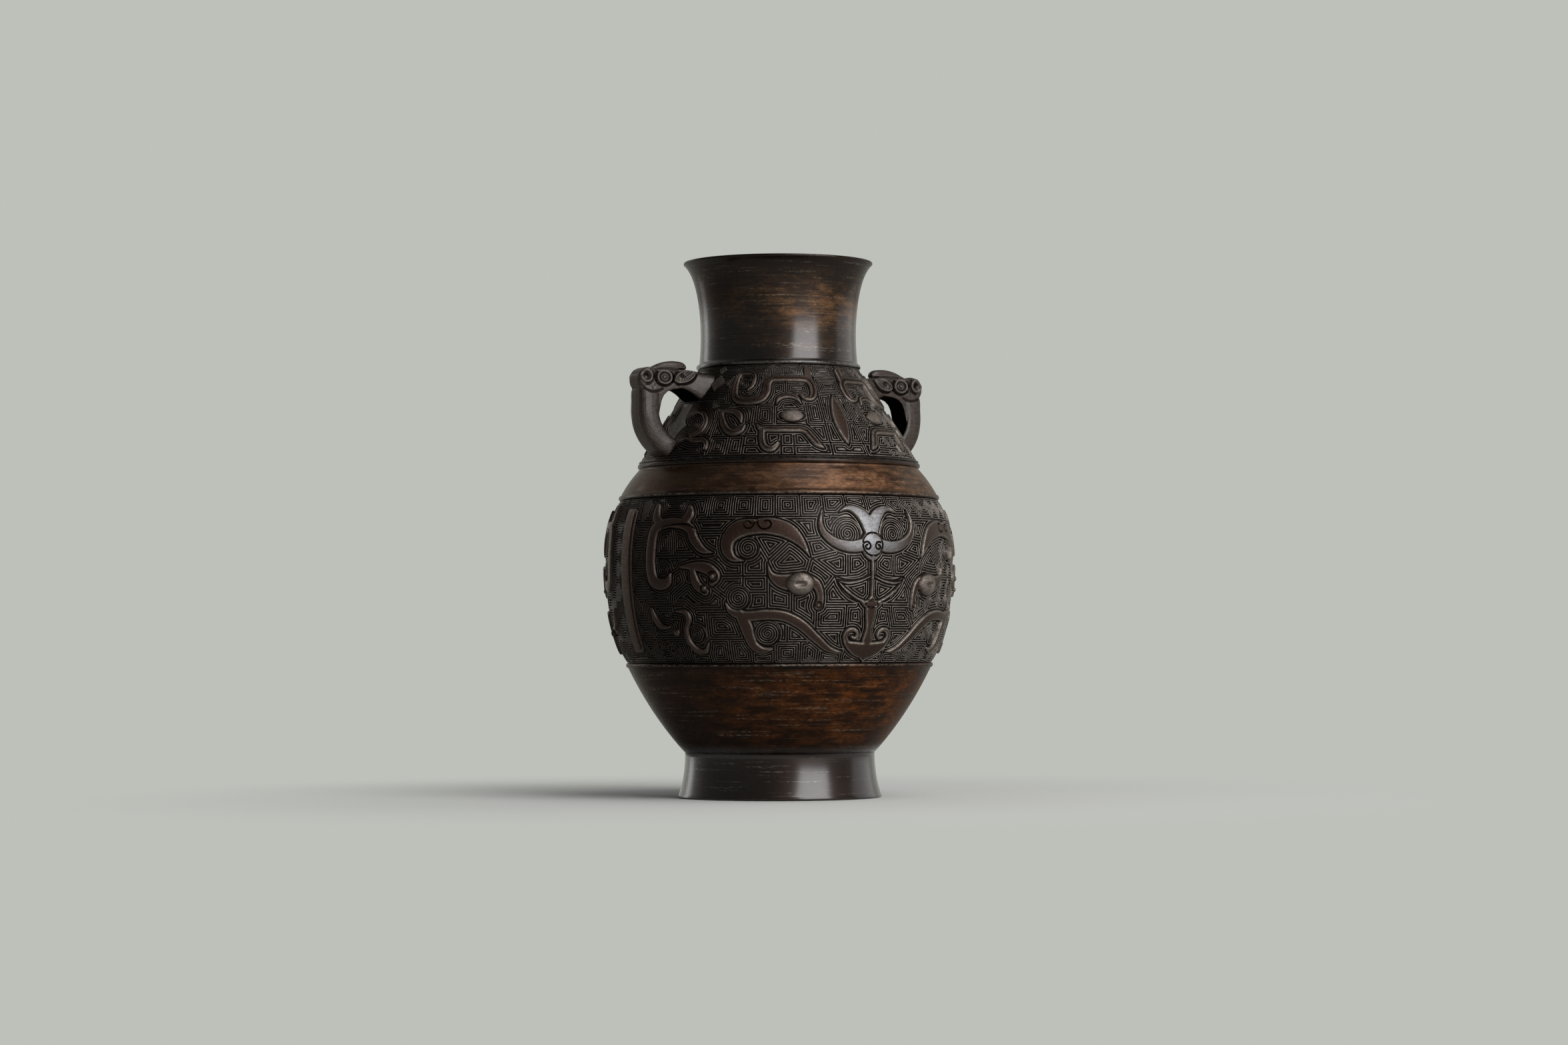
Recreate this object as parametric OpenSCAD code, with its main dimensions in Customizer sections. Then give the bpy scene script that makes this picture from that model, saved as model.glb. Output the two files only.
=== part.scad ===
// Bronze vase in the ancient style, with a mask frieze and two animal-head handles.
// It stands on z = 0 with its axis on Z. The masks face -Y and +Y, the handles lie on -X and +X.

/* [Heights] */
// Height of the ring foot
foot_height = 27; // [20:0.5:36]
// Height of the plain lower body, from the foot to the lower fillet
lower_height = 52; // [42:0.5:64]
// Height of the belly frieze, between the middles of its fillets
belly_height = 99.5; // [84:0.5:116]
// Height of the plain band above the belly
band_height = 20.5; // [14:0.5:28]
// Height of the shoulder frieze, up to the neck fillet
shoulder_height = 58; // [50:0.5:68]
// Height of the neck above its fillet
neck_height = 63; // [48:0.5:80]

/* [Radii] */
// Outer radius of the foot where it stands
foot_radius = 60.8; // [56:0.1:68]
// Outer radius at the top of the foot
foot_waist_radius = 56.6; // [52:0.1:62]
// Outer radius at the lower fillet
lower_radius = 90.4; // [84:0.1:96]
// Largest radius of the belly
belly_radius = 103.7; // [98:0.1:112]
// Outer radius at the fillet on top of the belly
upper_radius = 94.6; // [88:0.1:98]
// Outer radius at the foot of the shoulder
shoulder_radius = 82.4; // [76:0.1:86]
// Outer radius at the base of the neck
neck_base_radius = 48; // [44:0.1:54]
// Outer radius at the middle of the neck
neck_radius = 46.4; // [42:0.1:48]
// Outer radius of the flared rim
rim_radius = 56.7; // [52:0.1:64]

/* [Walls and fillets] */
// Thickness of the cast wall
wall = 3; // [2.4:0.1:4.5]
// Thickness of the floor inside
floor_thickness = 4; // [3:0.1:7]
// Thickness of the lip at the rim
lip_thickness = 2.2; // [1.6:0.1:3]
// Height of the rounded fillets
fillet_height = 3; // [2:0.1:4]
// How far the fillets stand out
fillet_depth = 1.3; // [0.8:0.1:2]

/* [Relief] */
// How far the flat relief stands out of the belly
belly_relief = 1.9; // [1:0.1:2.8]
// How far the flat relief stands out of the shoulder
shoulder_relief = 1.4; // [0.8:0.1:2.2]
// Radius of the eye bosses where they leave the belly
eye_radius = 7.6; // [6:0.1:9]
// How far the eye bosses stand out
eye_height = 4.6; // [3:0.1:6]
// Width of the upright flange under each handle
flange_width = 6.4; // [5:0.1:9]

/* [Handles] */
// Distance from the axis to the outer side of a handle
handle_reach = 98; // [94:0.1:106]
// Thickness of the tail, seen from the side
tail_thickness = 14; // [10:0.1:16]
// Width of the tail, seen from outside
tail_width = 16; // [12:0.1:20]
// Radius of the rolled snout
snout_radius = 7.4; // [6:0.1:8.4]
// Width of the head
head_width = 14.6; // [12:0.1:18]
// Height of the handle above the foot of the shoulder, at the middle of the snout
snout_height = 46.3; // [43:0.1:50]
// Thickness of the crest
crest_thickness = 5.6; // [4:0.1:8]

/* [Hidden] */
$fn = 96;
z_lower = foot_height + lower_height;
z_upper = z_lower + belly_height;
z_shoulder = z_upper + band_height;
z_neck = z_shoulder + shoulder_height;
z_rim = z_neck + neck_height;
half_bead = fillet_height / 2;

// Curves
function quad(a, b, c, n) = [for (i = [0 : n]) let (t = i / n, s = 1 - t) s * s * a + 2 * s * t * b + t * t * c];
function cubic(a, b, c, d, n) = [for (i = [0 : n]) let (t = i / n, s = 1 - t)
    s * s * s * a + 3 * s * s * t * b + 3 * s * t * t * c + t * t * t * d];
function bead(r, z, half, depth) = [for (a = [18 : 36 : 162]) [r + depth * sin(a), z - half * cos(a)]];
function direction(p, i) = p[min(i + 1, len(p) - 1)] - p[max(i - 1, 0)];
function unit(p, i) = let (t = direction(p, i)) [t.x, t.y] / norm([t.x, t.y]);
function aside(p, d) = [for (i = [0 : len(p) - 1]) let (u = unit(p, i)) p[i] + d * [-u.y, u.x]];
function backwards(p) = [for (i = [len(p) - 1 : -1 : 0]) p[i]];

// The outer line of the body, piece by piece, from the foot up to the rim
foot_line = quad([foot_radius, 0.8], [foot_waist_radius, foot_height * 0.45], [foot_waist_radius, foot_height], 7);
lower_line = quad([foot_waist_radius + 0.2, foot_height],
    [foot_waist_radius + 0.59 * (lower_radius - foot_waist_radius), foot_height + 0.42 * lower_height],
    [lower_radius, z_lower - half_bead], 12);
belly_line = cubic([lower_radius, z_lower + half_bead],
    [belly_radius + 0.8, z_lower + 0.2 * belly_height], [belly_radius + 5.8, z_upper - 0.2 * belly_height],
    [upper_radius, z_upper - half_bead], 12);
band_line = quad([upper_radius, z_upper + half_bead],
    [(upper_radius + shoulder_radius) / 2 + 1.5, z_upper + band_height / 2],
    [shoulder_radius + 0.8, z_shoulder - fillet_height], 4);
shoulder_line = [[shoulder_radius, z_shoulder + half_bead], [neck_base_radius, z_neck - half_bead]];
neck_line = cubic([neck_base_radius - 0.4, z_neck + half_bead],
    [neck_radius - 1.2, z_neck + 0.3 * neck_height], [neck_radius + 0.2, z_neck + 0.83 * neck_height],
    [rim_radius - 0.5, z_rim - 1.6], 14);

outer_line = concat(
    foot_line,
    lower_line,
    bead(lower_radius, z_lower, half_bead, fillet_depth),
    belly_line,
    bead(upper_radius, z_upper, half_bead, fillet_depth),
    band_line,
    bead(shoulder_radius + 0.8, z_shoulder - half_bead, half_bead, fillet_depth),
    bead(shoulder_radius + 0.3, z_shoulder + half_bead / 2, half_bead / 2, fillet_depth * 0.8),
    shoulder_line,
    bead(neck_base_radius, z_neck, half_bead, fillet_depth),
    neck_line,
    [[rim_radius, z_rim - 0.9], [rim_radius - 0.3, z_rim]]
);

// The inner line, from the mouth down to the floor
inner_line = concat(
    [[rim_radius - lip_thickness, z_rim]],
    [for (p = backwards(aside(neck_line, wall))) if (p.y < z_rim - 1.6) p],
    backwards(aside(shoulder_line, wall)),
    backwards(aside(band_line, wall)),
    backwards(aside(belly_line, wall)),
    [for (p = backwards(aside(lower_line, wall))) if (p.y > foot_height + floor_thickness / 2 + 0.5) p],
    [[foot_waist_radius - wall, foot_height + floor_thickness / 2], [0, foot_height + floor_thickness / 2]]
);

// The hollow under the floor, inside the ring foot
under_line = concat(
    [[0, foot_height - floor_thickness / 2], [foot_waist_radius - wall - 2, foot_height - floor_thickness / 2]],
    [for (p = backwards(aside(foot_line, wall))) if (p.y < foot_height - floor_thickness / 2 - 1 && p.y > 1) p],
    [[foot_radius - wall, 0], [foot_radius - 0.6, 0]]
);

// Height and radius of the outer line, for what stands on it
wall_line = concat(foot_line, lower_line, belly_line, band_line, shoulder_line, neck_line);
function radius_at(z) = lookup(z, [for (p = wall_line) [p.y, p.x]]);

// Relief. A stroke is a list of [degrees from the mask's middle, percent of the frieze's height, half width in mm].
function smooth(p, n) = [for (i = [0 : len(p) - 2]) for (j = [0 : (i == len(p) - 2 ? n : n - 1)])
    let (t = j / n, a = p[max(i - 1, 0)], b = p[i], c = p[i + 1], d = p[min(i + 2, len(p) - 1)])
    0.5 * (2 * b + (c - a) * t + (2 * a - 5 * b + 4 * c - d) * t * t + (3 * b - a - 3 * c + d) * t * t * t)];
function side(p, s) = [for (i = [0 : len(p) - 1]) let (u = unit(p, i)) [p[i].x, p[i].y] + s * p[i].z * [-u.y, u.x]];
function outline(p) = concat(side(p, 1), backwards(side(p, -1)));

// A flat stroke, extruded away from the axis at its own place on the body
module stroke(points, low, high, n) {
    middle = (max([for (p = points) p.x]) + min([for (p = points) p.x])) / 2;
    heights = [for (p = points) low + (high - low) * p.y / 100];
    flat = [for (i = [0 : len(points) - 1])
        [radius_at(heights[i]) * sin(points[i].x - middle), heights[i], points[i].z]];
    near = min([for (i = [0 : len(points) - 1]) radius_at(heights[i]) * cos(points[i].x - middle)]) - 6;
    rotate([0, 0, middle])
        rotate([90, 0, 0])
            translate([0, 0, near])
                linear_extrude(belly_radius + 10 - near)
                    polygon(outline(smooth(flat, n)));
}

// A domed boss of a base radius and a height, standing on the body
module boss(angle, percent, radius, height, low, high) {
    z = low + (high - low) * percent / 100;
    ball = (radius * radius + height * height) / (2 * height);
    rotate([0, 0, angle])
        translate([0, -radius_at(z) - height + ball, z])
            sphere(r = ball);
}

// The skin between two depths over one stretch of the outer line
module skin(line, below, above) {
    rotate_extrude()
        polygon(concat(aside(line, below), backwards(aside(line, -above))));
}

brow = [[-21.3, 62.5, 0.3], [-23.8, 70, 2.5], [-27.8, 76.8, 4.6], [-33.3, 80, 5], [-38.3, 79.8, 4.6], [-43.5, 78.6, 5.2],
    [-47, 73.5, 4.4], [-47.6, 67, 3.6], [-45.8, 61.8, 2.2], [-42.3, 60.2, 0.5]];
jaw = [[-48.5, 36.6, 0.4], [-46.6, 31, 2], [-41.3, 28.6, 3], [-35.3, 29.4, 3.1], [-29.3, 28.4, 3.1], [-23.8, 23.5, 3.1],
    [-18.8, 16, 2.7], [-13.8, 9.6, 2], [-8.9, 8, 0.4]];
jaw_hook = [[-43.8, 29.5, 3], [-42, 23, 3.8], [-41, 17, 3.2], [-39.6, 11.6, 2.8], [-36.8, 9, 2.2], [-33.6, 9.8, 0.8]];
eye_leaf = [[-34.6, 58.7, 0.3], [-33.4, 52, 1.9], [-30.3, 48.4, 4], [-25.3, 47.5, 5.6]];
eye_tail = [[-23.5, 51, 2.6], [-19.4, 47, 2.8], [-17.8, 40, 2.2], [-18.3, 34.2, 2.6]];
crescent = [[-1, 69.5, 3.6], [-6.6, 66.8, 3.2], [-11.6, 69, 2.6], [-14.9, 75, 1.8], [-15.9, 81, 1.2], [-14.9, 87.8, 0.3]];
crest_lobe = [[-0.2, 76, 4.6], [-2.2, 84.5, 3.6], [-6, 87.6, 1.9], [-10.8, 85.6, 0.3]];
crest_stem = [[0, 92, 0.3], [0, 85, 4.2], [0, 79, 4.8], [0, 71, 5.2], [0, 66, 6.8], [0, 62, 5.6], [0, 59.6, 1.2]];
nose_stem = [[0, 60, 1.1], [0, 42, 1.1], [0, 37, 6.6], [0, 33, 5], [0, 28, 3], [0, 22, 2.3], [0, 16, 3.4]];
nose_base = [[0, 18, 3], [0, 14.5, 11], [0, 11, 12.6], [0, 6.6, 6], [0, 4, 0.5]];
nose_curl = [[-6, 12, 3], [-8, 16.5, 2.2], [-6.6, 20.6, 1.8], [-4.2, 19.4, 1]];
leg = [[-68, 53.5, 0.5], [-69.8, 47.8, 3], [-74.6, 48.4, 3.6], [-76.4, 56, 3.5], [-76.4, 69, 3.5], [-75.2, 79.4, 3.3],
    [-70.3, 82.6, 3.1], [-64.8, 82.2, 3.1], [-60.9, 79, 3], [-59.2, 73, 2.9], [-56.2, 67, 2.3], [-52.4, 65, 0.4]];
leg_horn = [[-72.5, 82, 2.6], [-75.4, 86, 2.8], [-76, 93, 1.6]];
ear_horn = [[-64, 82, 2.8], [-61.7, 87, 2.8], [-61.8, 91.6, 1.4]];
claw = [[-64, 57, 0.8], [-59.3, 57.4, 2.4], [-54.6, 56.2, 3.4], [-51.7, 51.8, 3.3], [-52.8, 47.6, 2]];
toe = [[-59.6, 55, 2], [-58.2, 47, 2.8], [-55.3, 42.6, 2.4]];
spur = [[-77.2, 33.6, 0.5], [-76, 27, 1.7], [-73.6, 22.8, 1.7], [-70.2, 22.6, 0.7]];
curl = [[-67, 31.6, 0.7], [-63.3, 31.2, 1.6], [-62, 27, 1.8], [-63.5, 21, 1.6], [-63.1, 14, 1.6], [-60.6, 9.2, 1.8],
    [-57.4, 8.6, 1.6], [-55.7, 13.4, 0.7]];

horn = [[-49, 70, 0.8], [-46.6, 75.4, 1.4], [-46, 83.5, 1.4], [-48, 87.8, 1.4], [-53, 88.4, 1.4], [-56.6, 86.4, 1.5],
    [-57.4, 77, 1.8], [-56.4, 66, 2.3], [-53.2, 60, 2.6], [-46.5, 59, 2.7], [-40.6, 61, 2.7], [-38, 68.5, 2.7],
    [-37.6, 77, 2.5], [-35, 81.6, 2.2], [-30, 82, 2.2], [-21, 82, 2.2], [-13.8, 81.4, 2.3], [-10.9, 76, 2.4],
    [-10.8, 67.4, 2.3], [-12.8, 61.6, 1.9], [-16.4, 61.2, 1.4], [-18.8, 65, 0.7]];
horn_top = [[-12.2, 80, 2.4], [-11.8, 91, 2.2]];
small_brow = [[-32, 55, 0.5], [-30.8, 61, 1.5], [-26.8, 63.8, 1.9], [-21.8, 62.4, 1.7], [-19, 55.4, 0.5]];
small_eye = [[-28.6, 43.2, 2.4], [-24.4, 43.2, 3], [-20.2, 43.2, 2.4]];
small_jaw = [[-41.3, 34.6, 0.5], [-39.3, 30.2, 1.8], [-33.8, 29.2, 2.1], [-25.8, 29.2, 2.2], [-19.6, 28.4, 2.2],
    [-16.8, 22, 2.4], [-14.6, 14.6, 2.3], [-12, 9.8, 0.7]];
small_hook = [[-38.6, 29.6, 1.9], [-38.2, 18, 2.1], [-36.8, 10.6, 2.2], [-33.8, 8.8, 2.1], [-31.2, 14.4, 1.2]];
scroll_left = [[-61.1, 49, 1.1], [-59.3, 39.6, 1.9], [-55.8, 30, 2.3], [-52.2, 26.4, 2.4], [-48.6, 28.6, 2.1],
    [-46.8, 33.4, 0.7]];
scroll_right = [[-60.9, 48.4, 1.1], [-54.8, 48.4, 1.8], [-50.8, 44, 2.2], [-49.2, 37, 0.9]];
side_curl = [[-77, 49, 0.9], [-72, 46.6, 1.6], [-69, 39, 1.8], [-69.6, 29.4, 1.8], [-74, 24, 1.4]];
side_foot = [[-77.4, 21.6, 0.9], [-71.4, 19.6, 1.8], [-66.4, 19.4, 1.8], [-63.9, 15.4, 1.8], [-63.5, 10, 1.2]];

// One half of the belly mask, left of its middle
module half_mask() {
    for (s = [brow, jaw_hook, eye_leaf, eye_tail, crescent, crest_lobe, claw])
        stroke(s, z_lower, z_upper, 2);
    for (s = [jaw, nose_curl, leg, leg_horn, ear_horn, toe, spur, curl])
        stroke(s, z_lower, z_upper, 1);
}

// One half of the shoulder mask, left of its middle
module half_shoulder() {
    for (s = [horn, horn_top, small_brow, small_eye, small_jaw, small_hook, scroll_left, scroll_right, side_curl,
            side_foot])
        stroke(s, z_shoulder, z_neck, 1);
}

module belly_forms() {
    for (turn = [0, 180])
        rotate([0, 0, turn]) {
            half_mask();
            mirror([1, 0, 0])
                half_mask();
            for (s = [crest_stem, nose_stem, nose_base])
                stroke(s, z_lower, z_upper, 1);
        }
}

module shoulder_forms() {
    for (turn = [0, 180])
        rotate([0, 0, turn]) {
            half_shoulder();
            mirror([1, 0, 0])
                half_shoulder();
        }
}

// The eyes, which stand higher than the flat relief
module belly_eyes() {
    for (turn = [0, 180])
        rotate([0, 0, turn])
            for (s = [-1, 1])
                boss(s * 24.3, 47, eye_radius, eye_height, z_lower, z_upper);
}

// The small studs beside the feet of the mask
module belly_studs() {
    for (turn = [0, 180])
        rotate([0, 0, turn])
            for (s = [-1, 1])
                boss(s * 67.3, 19.4, 2.2, 3, z_lower, z_upper);
}

// The upright lens on the middle of the shoulder, a spindle sunk to a third of its depth
module lens() {
    low = z_shoulder + 0.13 * shoulder_height;
    high = z_shoulder + 0.65 * shoulder_height;
    lean = atan((radius_at(low) - radius_at(high)) / (high - low));
    length = (high - low) / cos(lean);
    deep = 4.6;
    arc_radius = (deep * deep + length * length / 4) / (2 * deep);
    translate([0, -(radius_at(low) + radius_at(high)) / 2 + 2.2, (low + high) / 2])
        rotate([-lean, 0, 0])
            rotate_extrude()
                polygon(concat([for (i = [-8 : 8]) let (y = i * length / 16)
                    [max(0, sqrt(arc_radius * arc_radius - y * y) - arc_radius + deep), y]]));
}

// The two-step upright flange on the belly under a handle
module flange(width, above) {
    intersection() {
        skin(belly_line, 1, above);
        rotate([90, 0, 90])
            translate([0, 0, min(lower_radius, upper_radius, belly_radius) - 6])
                linear_extrude(belly_radius - min(lower_radius, upper_radius, belly_radius) + 16)
                    polygon([[-width / 2, z_lower + 0.1 * belly_height + width / 2], [0, z_lower + 0.1 * belly_height],
                        [width / 2, z_lower + 0.1 * belly_height + width / 2], [width / 2, z_upper - 0.1 * belly_height],
                        [-width / 2, z_upper - 0.1 * belly_height]]);
    }
}

// The whole outer form, without its hollows
module outer_form() {
    rotate_extrude()
        polygon(concat([[0, 0], [foot_radius - 0.6, 0]], outer_line, [[0, z_rim]]));
}

module vessel() {
    color([0.16, 0.11, 0.09]) {
        rotate_extrude()
            polygon(concat(outer_line, inner_line, under_line));
        intersection() {
            skin(belly_line, 1, belly_relief);
            belly_forms();
        }
        intersection() {
            skin(belly_line, 1, eye_height + 2);
            belly_eyes();
        }
        belly_studs();
        intersection() {
            skin(shoulder_line, 1, shoulder_relief);
            shoulder_forms();
        }
        intersection() {
            skin(shoulder_line, 1, 6);
            for (turn = [0, 180])
                rotate([0, 0, turn])
                    lens();
        }
        for (turn = [0, 180])
            rotate([0, 0, turn]) {
                flange(flange_width, belly_relief);
                flange(flange_width + 5, belly_relief / 2);
            }
    }
}

// Handles. Their line lies in the XZ plane on the +X side.
tail_middle = handle_reach - tail_thickness / 2;
z_snout = z_shoulder + snout_height;
snout_middle = handle_reach + 1 - snout_radius;
// How far the tail and the head run inwards to the shoulder that carries them
tail_run = tail_middle - radius_at(z_shoulder + 4) + 9.8;
head_run = snout_middle - radius_at(z_snout - 7.2);
function at_head(t) = snout_middle - t * head_run;

// A closed form through rings of points
module loft(rings) {
    n = len(rings[0]);
    m = len(rings);
    points = [for (r = rings) for (p = r) p];
    faces = concat(
        [[for (k = [n - 1 : -1 : 0]) k]],
        [for (i = [0 : m - 2]) for (k = [0 : n - 1])
            [i * n + k, i * n + (k + 1) % n, (i + 1) * n + k]],
        [for (i = [0 : m - 2]) for (k = [0 : n - 1])
            [i * n + (k + 1) % n, (i + 1) * n + (k + 1) % n, (i + 1) * n + k]],
        [[for (k = [0 : n - 1]) (m - 1) * n + k]]
    );
    polyhedron(points, faces, convexity = 4);
}

// A ring of a rounded square section round one station [x, z, half depth, half width] of a line in the XZ plane
function rounded(v) = (v < 0 ? -1 : 1) * pow(abs(v), 0.62);
function ring(p, i, n) = let (u = unit(p, i))
    [for (k = [0 : n - 1]) let (a = 360 * k / n, d = p[i][2] * rounded(cos(a)), w = p[i][3] * rounded(sin(a)))
        [p[i].x - d * u.y, w, p[i].y + d * u.x]];

tail_stations = [
    [tail_middle - tail_run, z_shoulder + 4, 4.2, tail_width / 2 - 0.6],
    [tail_middle - 0.6 * tail_run, z_shoulder + 7, tail_thickness / 2 - 0.8, tail_width / 2 - 0.4],
    [tail_middle - 0.27 * tail_run, z_shoulder + 12, tail_thickness / 2 - 0.3, tail_width / 2 - 0.1],
    [tail_middle - 0.07 * tail_run, z_shoulder + 19, tail_thickness / 2, tail_width / 2],
    [tail_middle, z_shoulder + 27, tail_thickness / 2, tail_width / 2],
    [tail_middle, z_snout - 11.3, tail_thickness / 2 - 0.3, tail_width / 2 - 0.2],
    [tail_middle - 0.6, z_snout - 5, tail_thickness / 2 - 0.6, head_width / 2],
    [tail_middle - 1, z_snout, 5, head_width / 2 - 0.6]
];
head_stations = [
    [snout_middle, z_snout, 6.4, head_width / 2 - 0.4],
    [at_head(0.245), z_snout + 0.6, 6.1, head_width / 2 - 0.2],
    [at_head(0.49), z_snout + 0.9, 6.3, head_width / 2],
    [at_head(0.734), z_snout - 0.2, 6.6, head_width / 2 - 0.2],
    [at_head(0.978), z_snout - 2.2, 6.2, head_width / 2 - 0.9],
    [at_head(1.192), z_snout - 4.6, 6.8, head_width / 2 - 0.5],
    [at_head(1.406), z_snout - 7.2, 8, head_width / 2 + 0.4]
];

// The rolled snout, a barrel across the head
module snout() {
    half = head_width / 2 + 0.3;
    edge = 2.6;
    translate([snout_middle, 0, z_snout])
        rotate([90, 0, 0])
            rotate_extrude()
                polygon(concat([[0, -half]],
                    [for (a = [-90 : 18 : 0]) [snout_radius - edge + edge * cos(a), edge - half + edge * sin(a)]],
                    [for (a = [0 : 18 : 90]) [snout_radius - edge + edge * cos(a), half - edge + edge * sin(a)]],
                    [[0, half]]));
}

// The crest on top of the head, with its blunt end towards the neck
module crest() {
    z = z_snout;
    top = smooth([[at_head(0.092), z + 3, 0], [at_head(0.245), z + 8.2, 0], [at_head(0.49), z + 10.8, 0],
        [at_head(0.703), z + 12, 0], [at_head(0.813), z + 11.2, 0], [at_head(0.874), z + 8.4, 0],
        [at_head(0.886), z + 2, 0]], 3);
    translate([0, crest_thickness / 2, 0])
        rotate([90, 0, 0])
            linear_extrude(crest_thickness)
                polygon([for (p = top) [p.x, p.y]]);
}

// Eye and ear on one side of the head
module face_side() {
    translate([at_head(0.397), -head_width / 2 + 0.4, z_snout + 1.6])
        rotate([90, 0, 0]) {
            difference() {
                cylinder(h = 1.3, r = 4.2);
                translate([0, 0, 0.7])
                    cylinder(h = 1, r = 3);
            }
            cylinder(h = 1.5, r = 1.5);
        }
    translate([at_head(0.78), -head_width / 2 + 0.5, z_snout + 2.6])
        rotate([90, 8, 0])
            difference() {
                almond(6.4, 3.4, 1.3);
                translate([0, 0, 0.6])
                    almond(4.6, 2.1, 1);
            }
}

module almond(long, high, thick) {
    arc_radius = (long * long + high * high) / (2 * high);
    intersection() {
        translate([0, high - arc_radius, 0])
            cylinder(h = thick, r = arc_radius);
        translate([0, arc_radius - high, 0])
            cylinder(h = thick, r = arc_radius);
    }
}

module handle() {
    difference() {
        union() {
            loft([for (i = [0 : len(tail_stations) - 1]) ring(tail_stations, i, 16)]);
            loft([for (i = [0 : len(head_stations) - 1]) ring(head_stations, i, 16)]);
            snout();
            crest();
            face_side();
            mirror([0, 1, 0])
                face_side();
        }
        outer_form();
        for (s = [-1, 1])
            translate([snout_middle - 0.5, s * (head_width / 2 + 1.3), z_snout + 1.6])
                rotate([90, 0, 0])
                    cylinder(h = 3.6, r = 2.6, center = true);
    }
}

module right_handle() {
    color([0.24, 0.17, 0.13])
        handle();
}

module left_handle() {
    color([0.24, 0.17, 0.13])
        rotate([0, 0, 180])
            handle();
}

vessel();
left_handle();
right_handle();
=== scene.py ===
"""Bronze vase with mask friezes and animal-head handles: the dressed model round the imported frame."""
import math

import bmesh
import bpy
import numpy as np
from bpy.props import FloatProperty, FloatVectorProperty, IntProperty, PointerProperty
from mathutils import Matrix, Vector
from mathutils.geometry import delaunay_2d_cdt


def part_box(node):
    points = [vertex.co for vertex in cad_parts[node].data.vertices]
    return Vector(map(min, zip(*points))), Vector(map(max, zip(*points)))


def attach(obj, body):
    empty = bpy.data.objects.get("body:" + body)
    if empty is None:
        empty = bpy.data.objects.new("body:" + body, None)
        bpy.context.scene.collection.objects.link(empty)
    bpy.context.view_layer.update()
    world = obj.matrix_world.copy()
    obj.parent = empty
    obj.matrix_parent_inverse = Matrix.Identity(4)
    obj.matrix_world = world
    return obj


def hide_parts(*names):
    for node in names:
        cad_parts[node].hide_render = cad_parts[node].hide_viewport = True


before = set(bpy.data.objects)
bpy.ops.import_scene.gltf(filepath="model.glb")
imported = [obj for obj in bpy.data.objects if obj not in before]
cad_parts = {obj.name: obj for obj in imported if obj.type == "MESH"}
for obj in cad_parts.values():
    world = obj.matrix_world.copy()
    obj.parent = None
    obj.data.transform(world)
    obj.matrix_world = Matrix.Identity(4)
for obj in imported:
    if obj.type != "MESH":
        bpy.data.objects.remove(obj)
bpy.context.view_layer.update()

bl_info = {
    "name": "Bronze vase",
    "version": (1, 0, 0),
    "blender": (4, 5, 0),
    "location": "View3D > Sidebar > Vase",
    "description": "A cast bronze vase with mask friezes and animal-head handles",
    "category": "Add Mesh",
}

MM = 0.001
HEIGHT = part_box("vessel")[1][2]

# Sizes in mm, as in the part's source
FOOT_HEIGHT, LOWER_HEIGHT, BELLY_HEIGHT = 27, 52, 99.5
BAND_HEIGHT, SHOULDER_HEIGHT, NECK_HEIGHT = 20.5, 58, 63
FOOT_R, WAIST_R, LOWER_R, BELLY_R, UPPER_R, SHOULDER_R, NECK_BASE_R, NECK_R, RIM_R = (
    60.8, 56.6, 90.4, 103.7, 94.6, 82.4, 48, 46.4, 56.7)
WALL, FLOOR, LIP, LIP_HEIGHT = 3, 4, 2.2, 1.6
FILLET, FILLET_DEPTH = 3, 1.3
HALF = FILLET / 2
Z_LOWER = FOOT_HEIGHT + LOWER_HEIGHT
Z_UPPER = Z_LOWER + BELLY_HEIGHT
Z_SHOULDER = Z_UPPER + BAND_HEIGHT
Z_NECK = Z_SHOULDER + SHOULDER_HEIGHT
Z_RIM = Z_NECK + NECK_HEIGHT
SHOULDER_RISE = SHOULDER_HEIGHT - FILLET
SHOULDER_RUN = SHOULDER_R - NECK_BASE_R


def quad(a, b, c, n):
    t = np.linspace(0, 1, n + 1)[:, None]
    return (1 - t) ** 2 * np.array(a) + 2 * t * (1 - t) * np.array(b) + t * t * np.array(c)


def cubic(a, b, c, d, n):
    t = np.linspace(0, 1, n + 1)[:, None]
    s = 1 - t
    return (s ** 3 * np.array(a) + 3 * s * s * t * np.array(b) + 3 * s * t * t * np.array(c)
            + t ** 3 * np.array(d))


def bead(r, z, half=HALF, depth=FILLET_DEPTH, n=8):
    """The rounded crest of a fillet."""
    a = np.radians(np.linspace(180 / n / 2, 180 - 180 / n / 2, n))
    return np.stack([r + depth * np.sin(a), z - half * np.cos(a)], 1)


def directions(line):
    t = np.gradient(line, axis=0)
    return t / np.linalg.norm(t, axis=1)[:, None]


def aside(line, d):
    """The line moved by d to its left."""
    t = directions(line)
    return line + d * np.stack([-t[:, 1], t[:, 0]], 1)


def smooth_line(points, n=6):
    """A smooth line through points, Catmull-Rom."""
    p = np.asarray(points, float)
    q = np.vstack([p[:1], p, p[-1:]])
    t = np.linspace(0, 1, n, endpoint=False)[:, None]
    out = []
    for i in range(len(p) - 1):
        a, b, c, d = q[i:i + 4]
        out.append(0.5 * (2 * b + (c - a) * t + (2 * a - 5 * b + 4 * c - d) * t * t
                          + (3 * b - a - 3 * c + d) * t ** 3))
    return np.vstack(out + [p[-1:]])


def along(points, step):
    """Points at about equal steps along a chain."""
    p = np.asarray(points, float)
    length = np.concatenate([[0], np.cumsum(np.linalg.norm(np.diff(p, axis=0), axis=1))])
    n = max(2, int(math.ceil(length[-1] / step)) + 1)
    s = np.linspace(0, length[-1], n)
    return np.stack([np.interp(s, length, p[:, k]) for k in range(p.shape[1])], 1)


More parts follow.
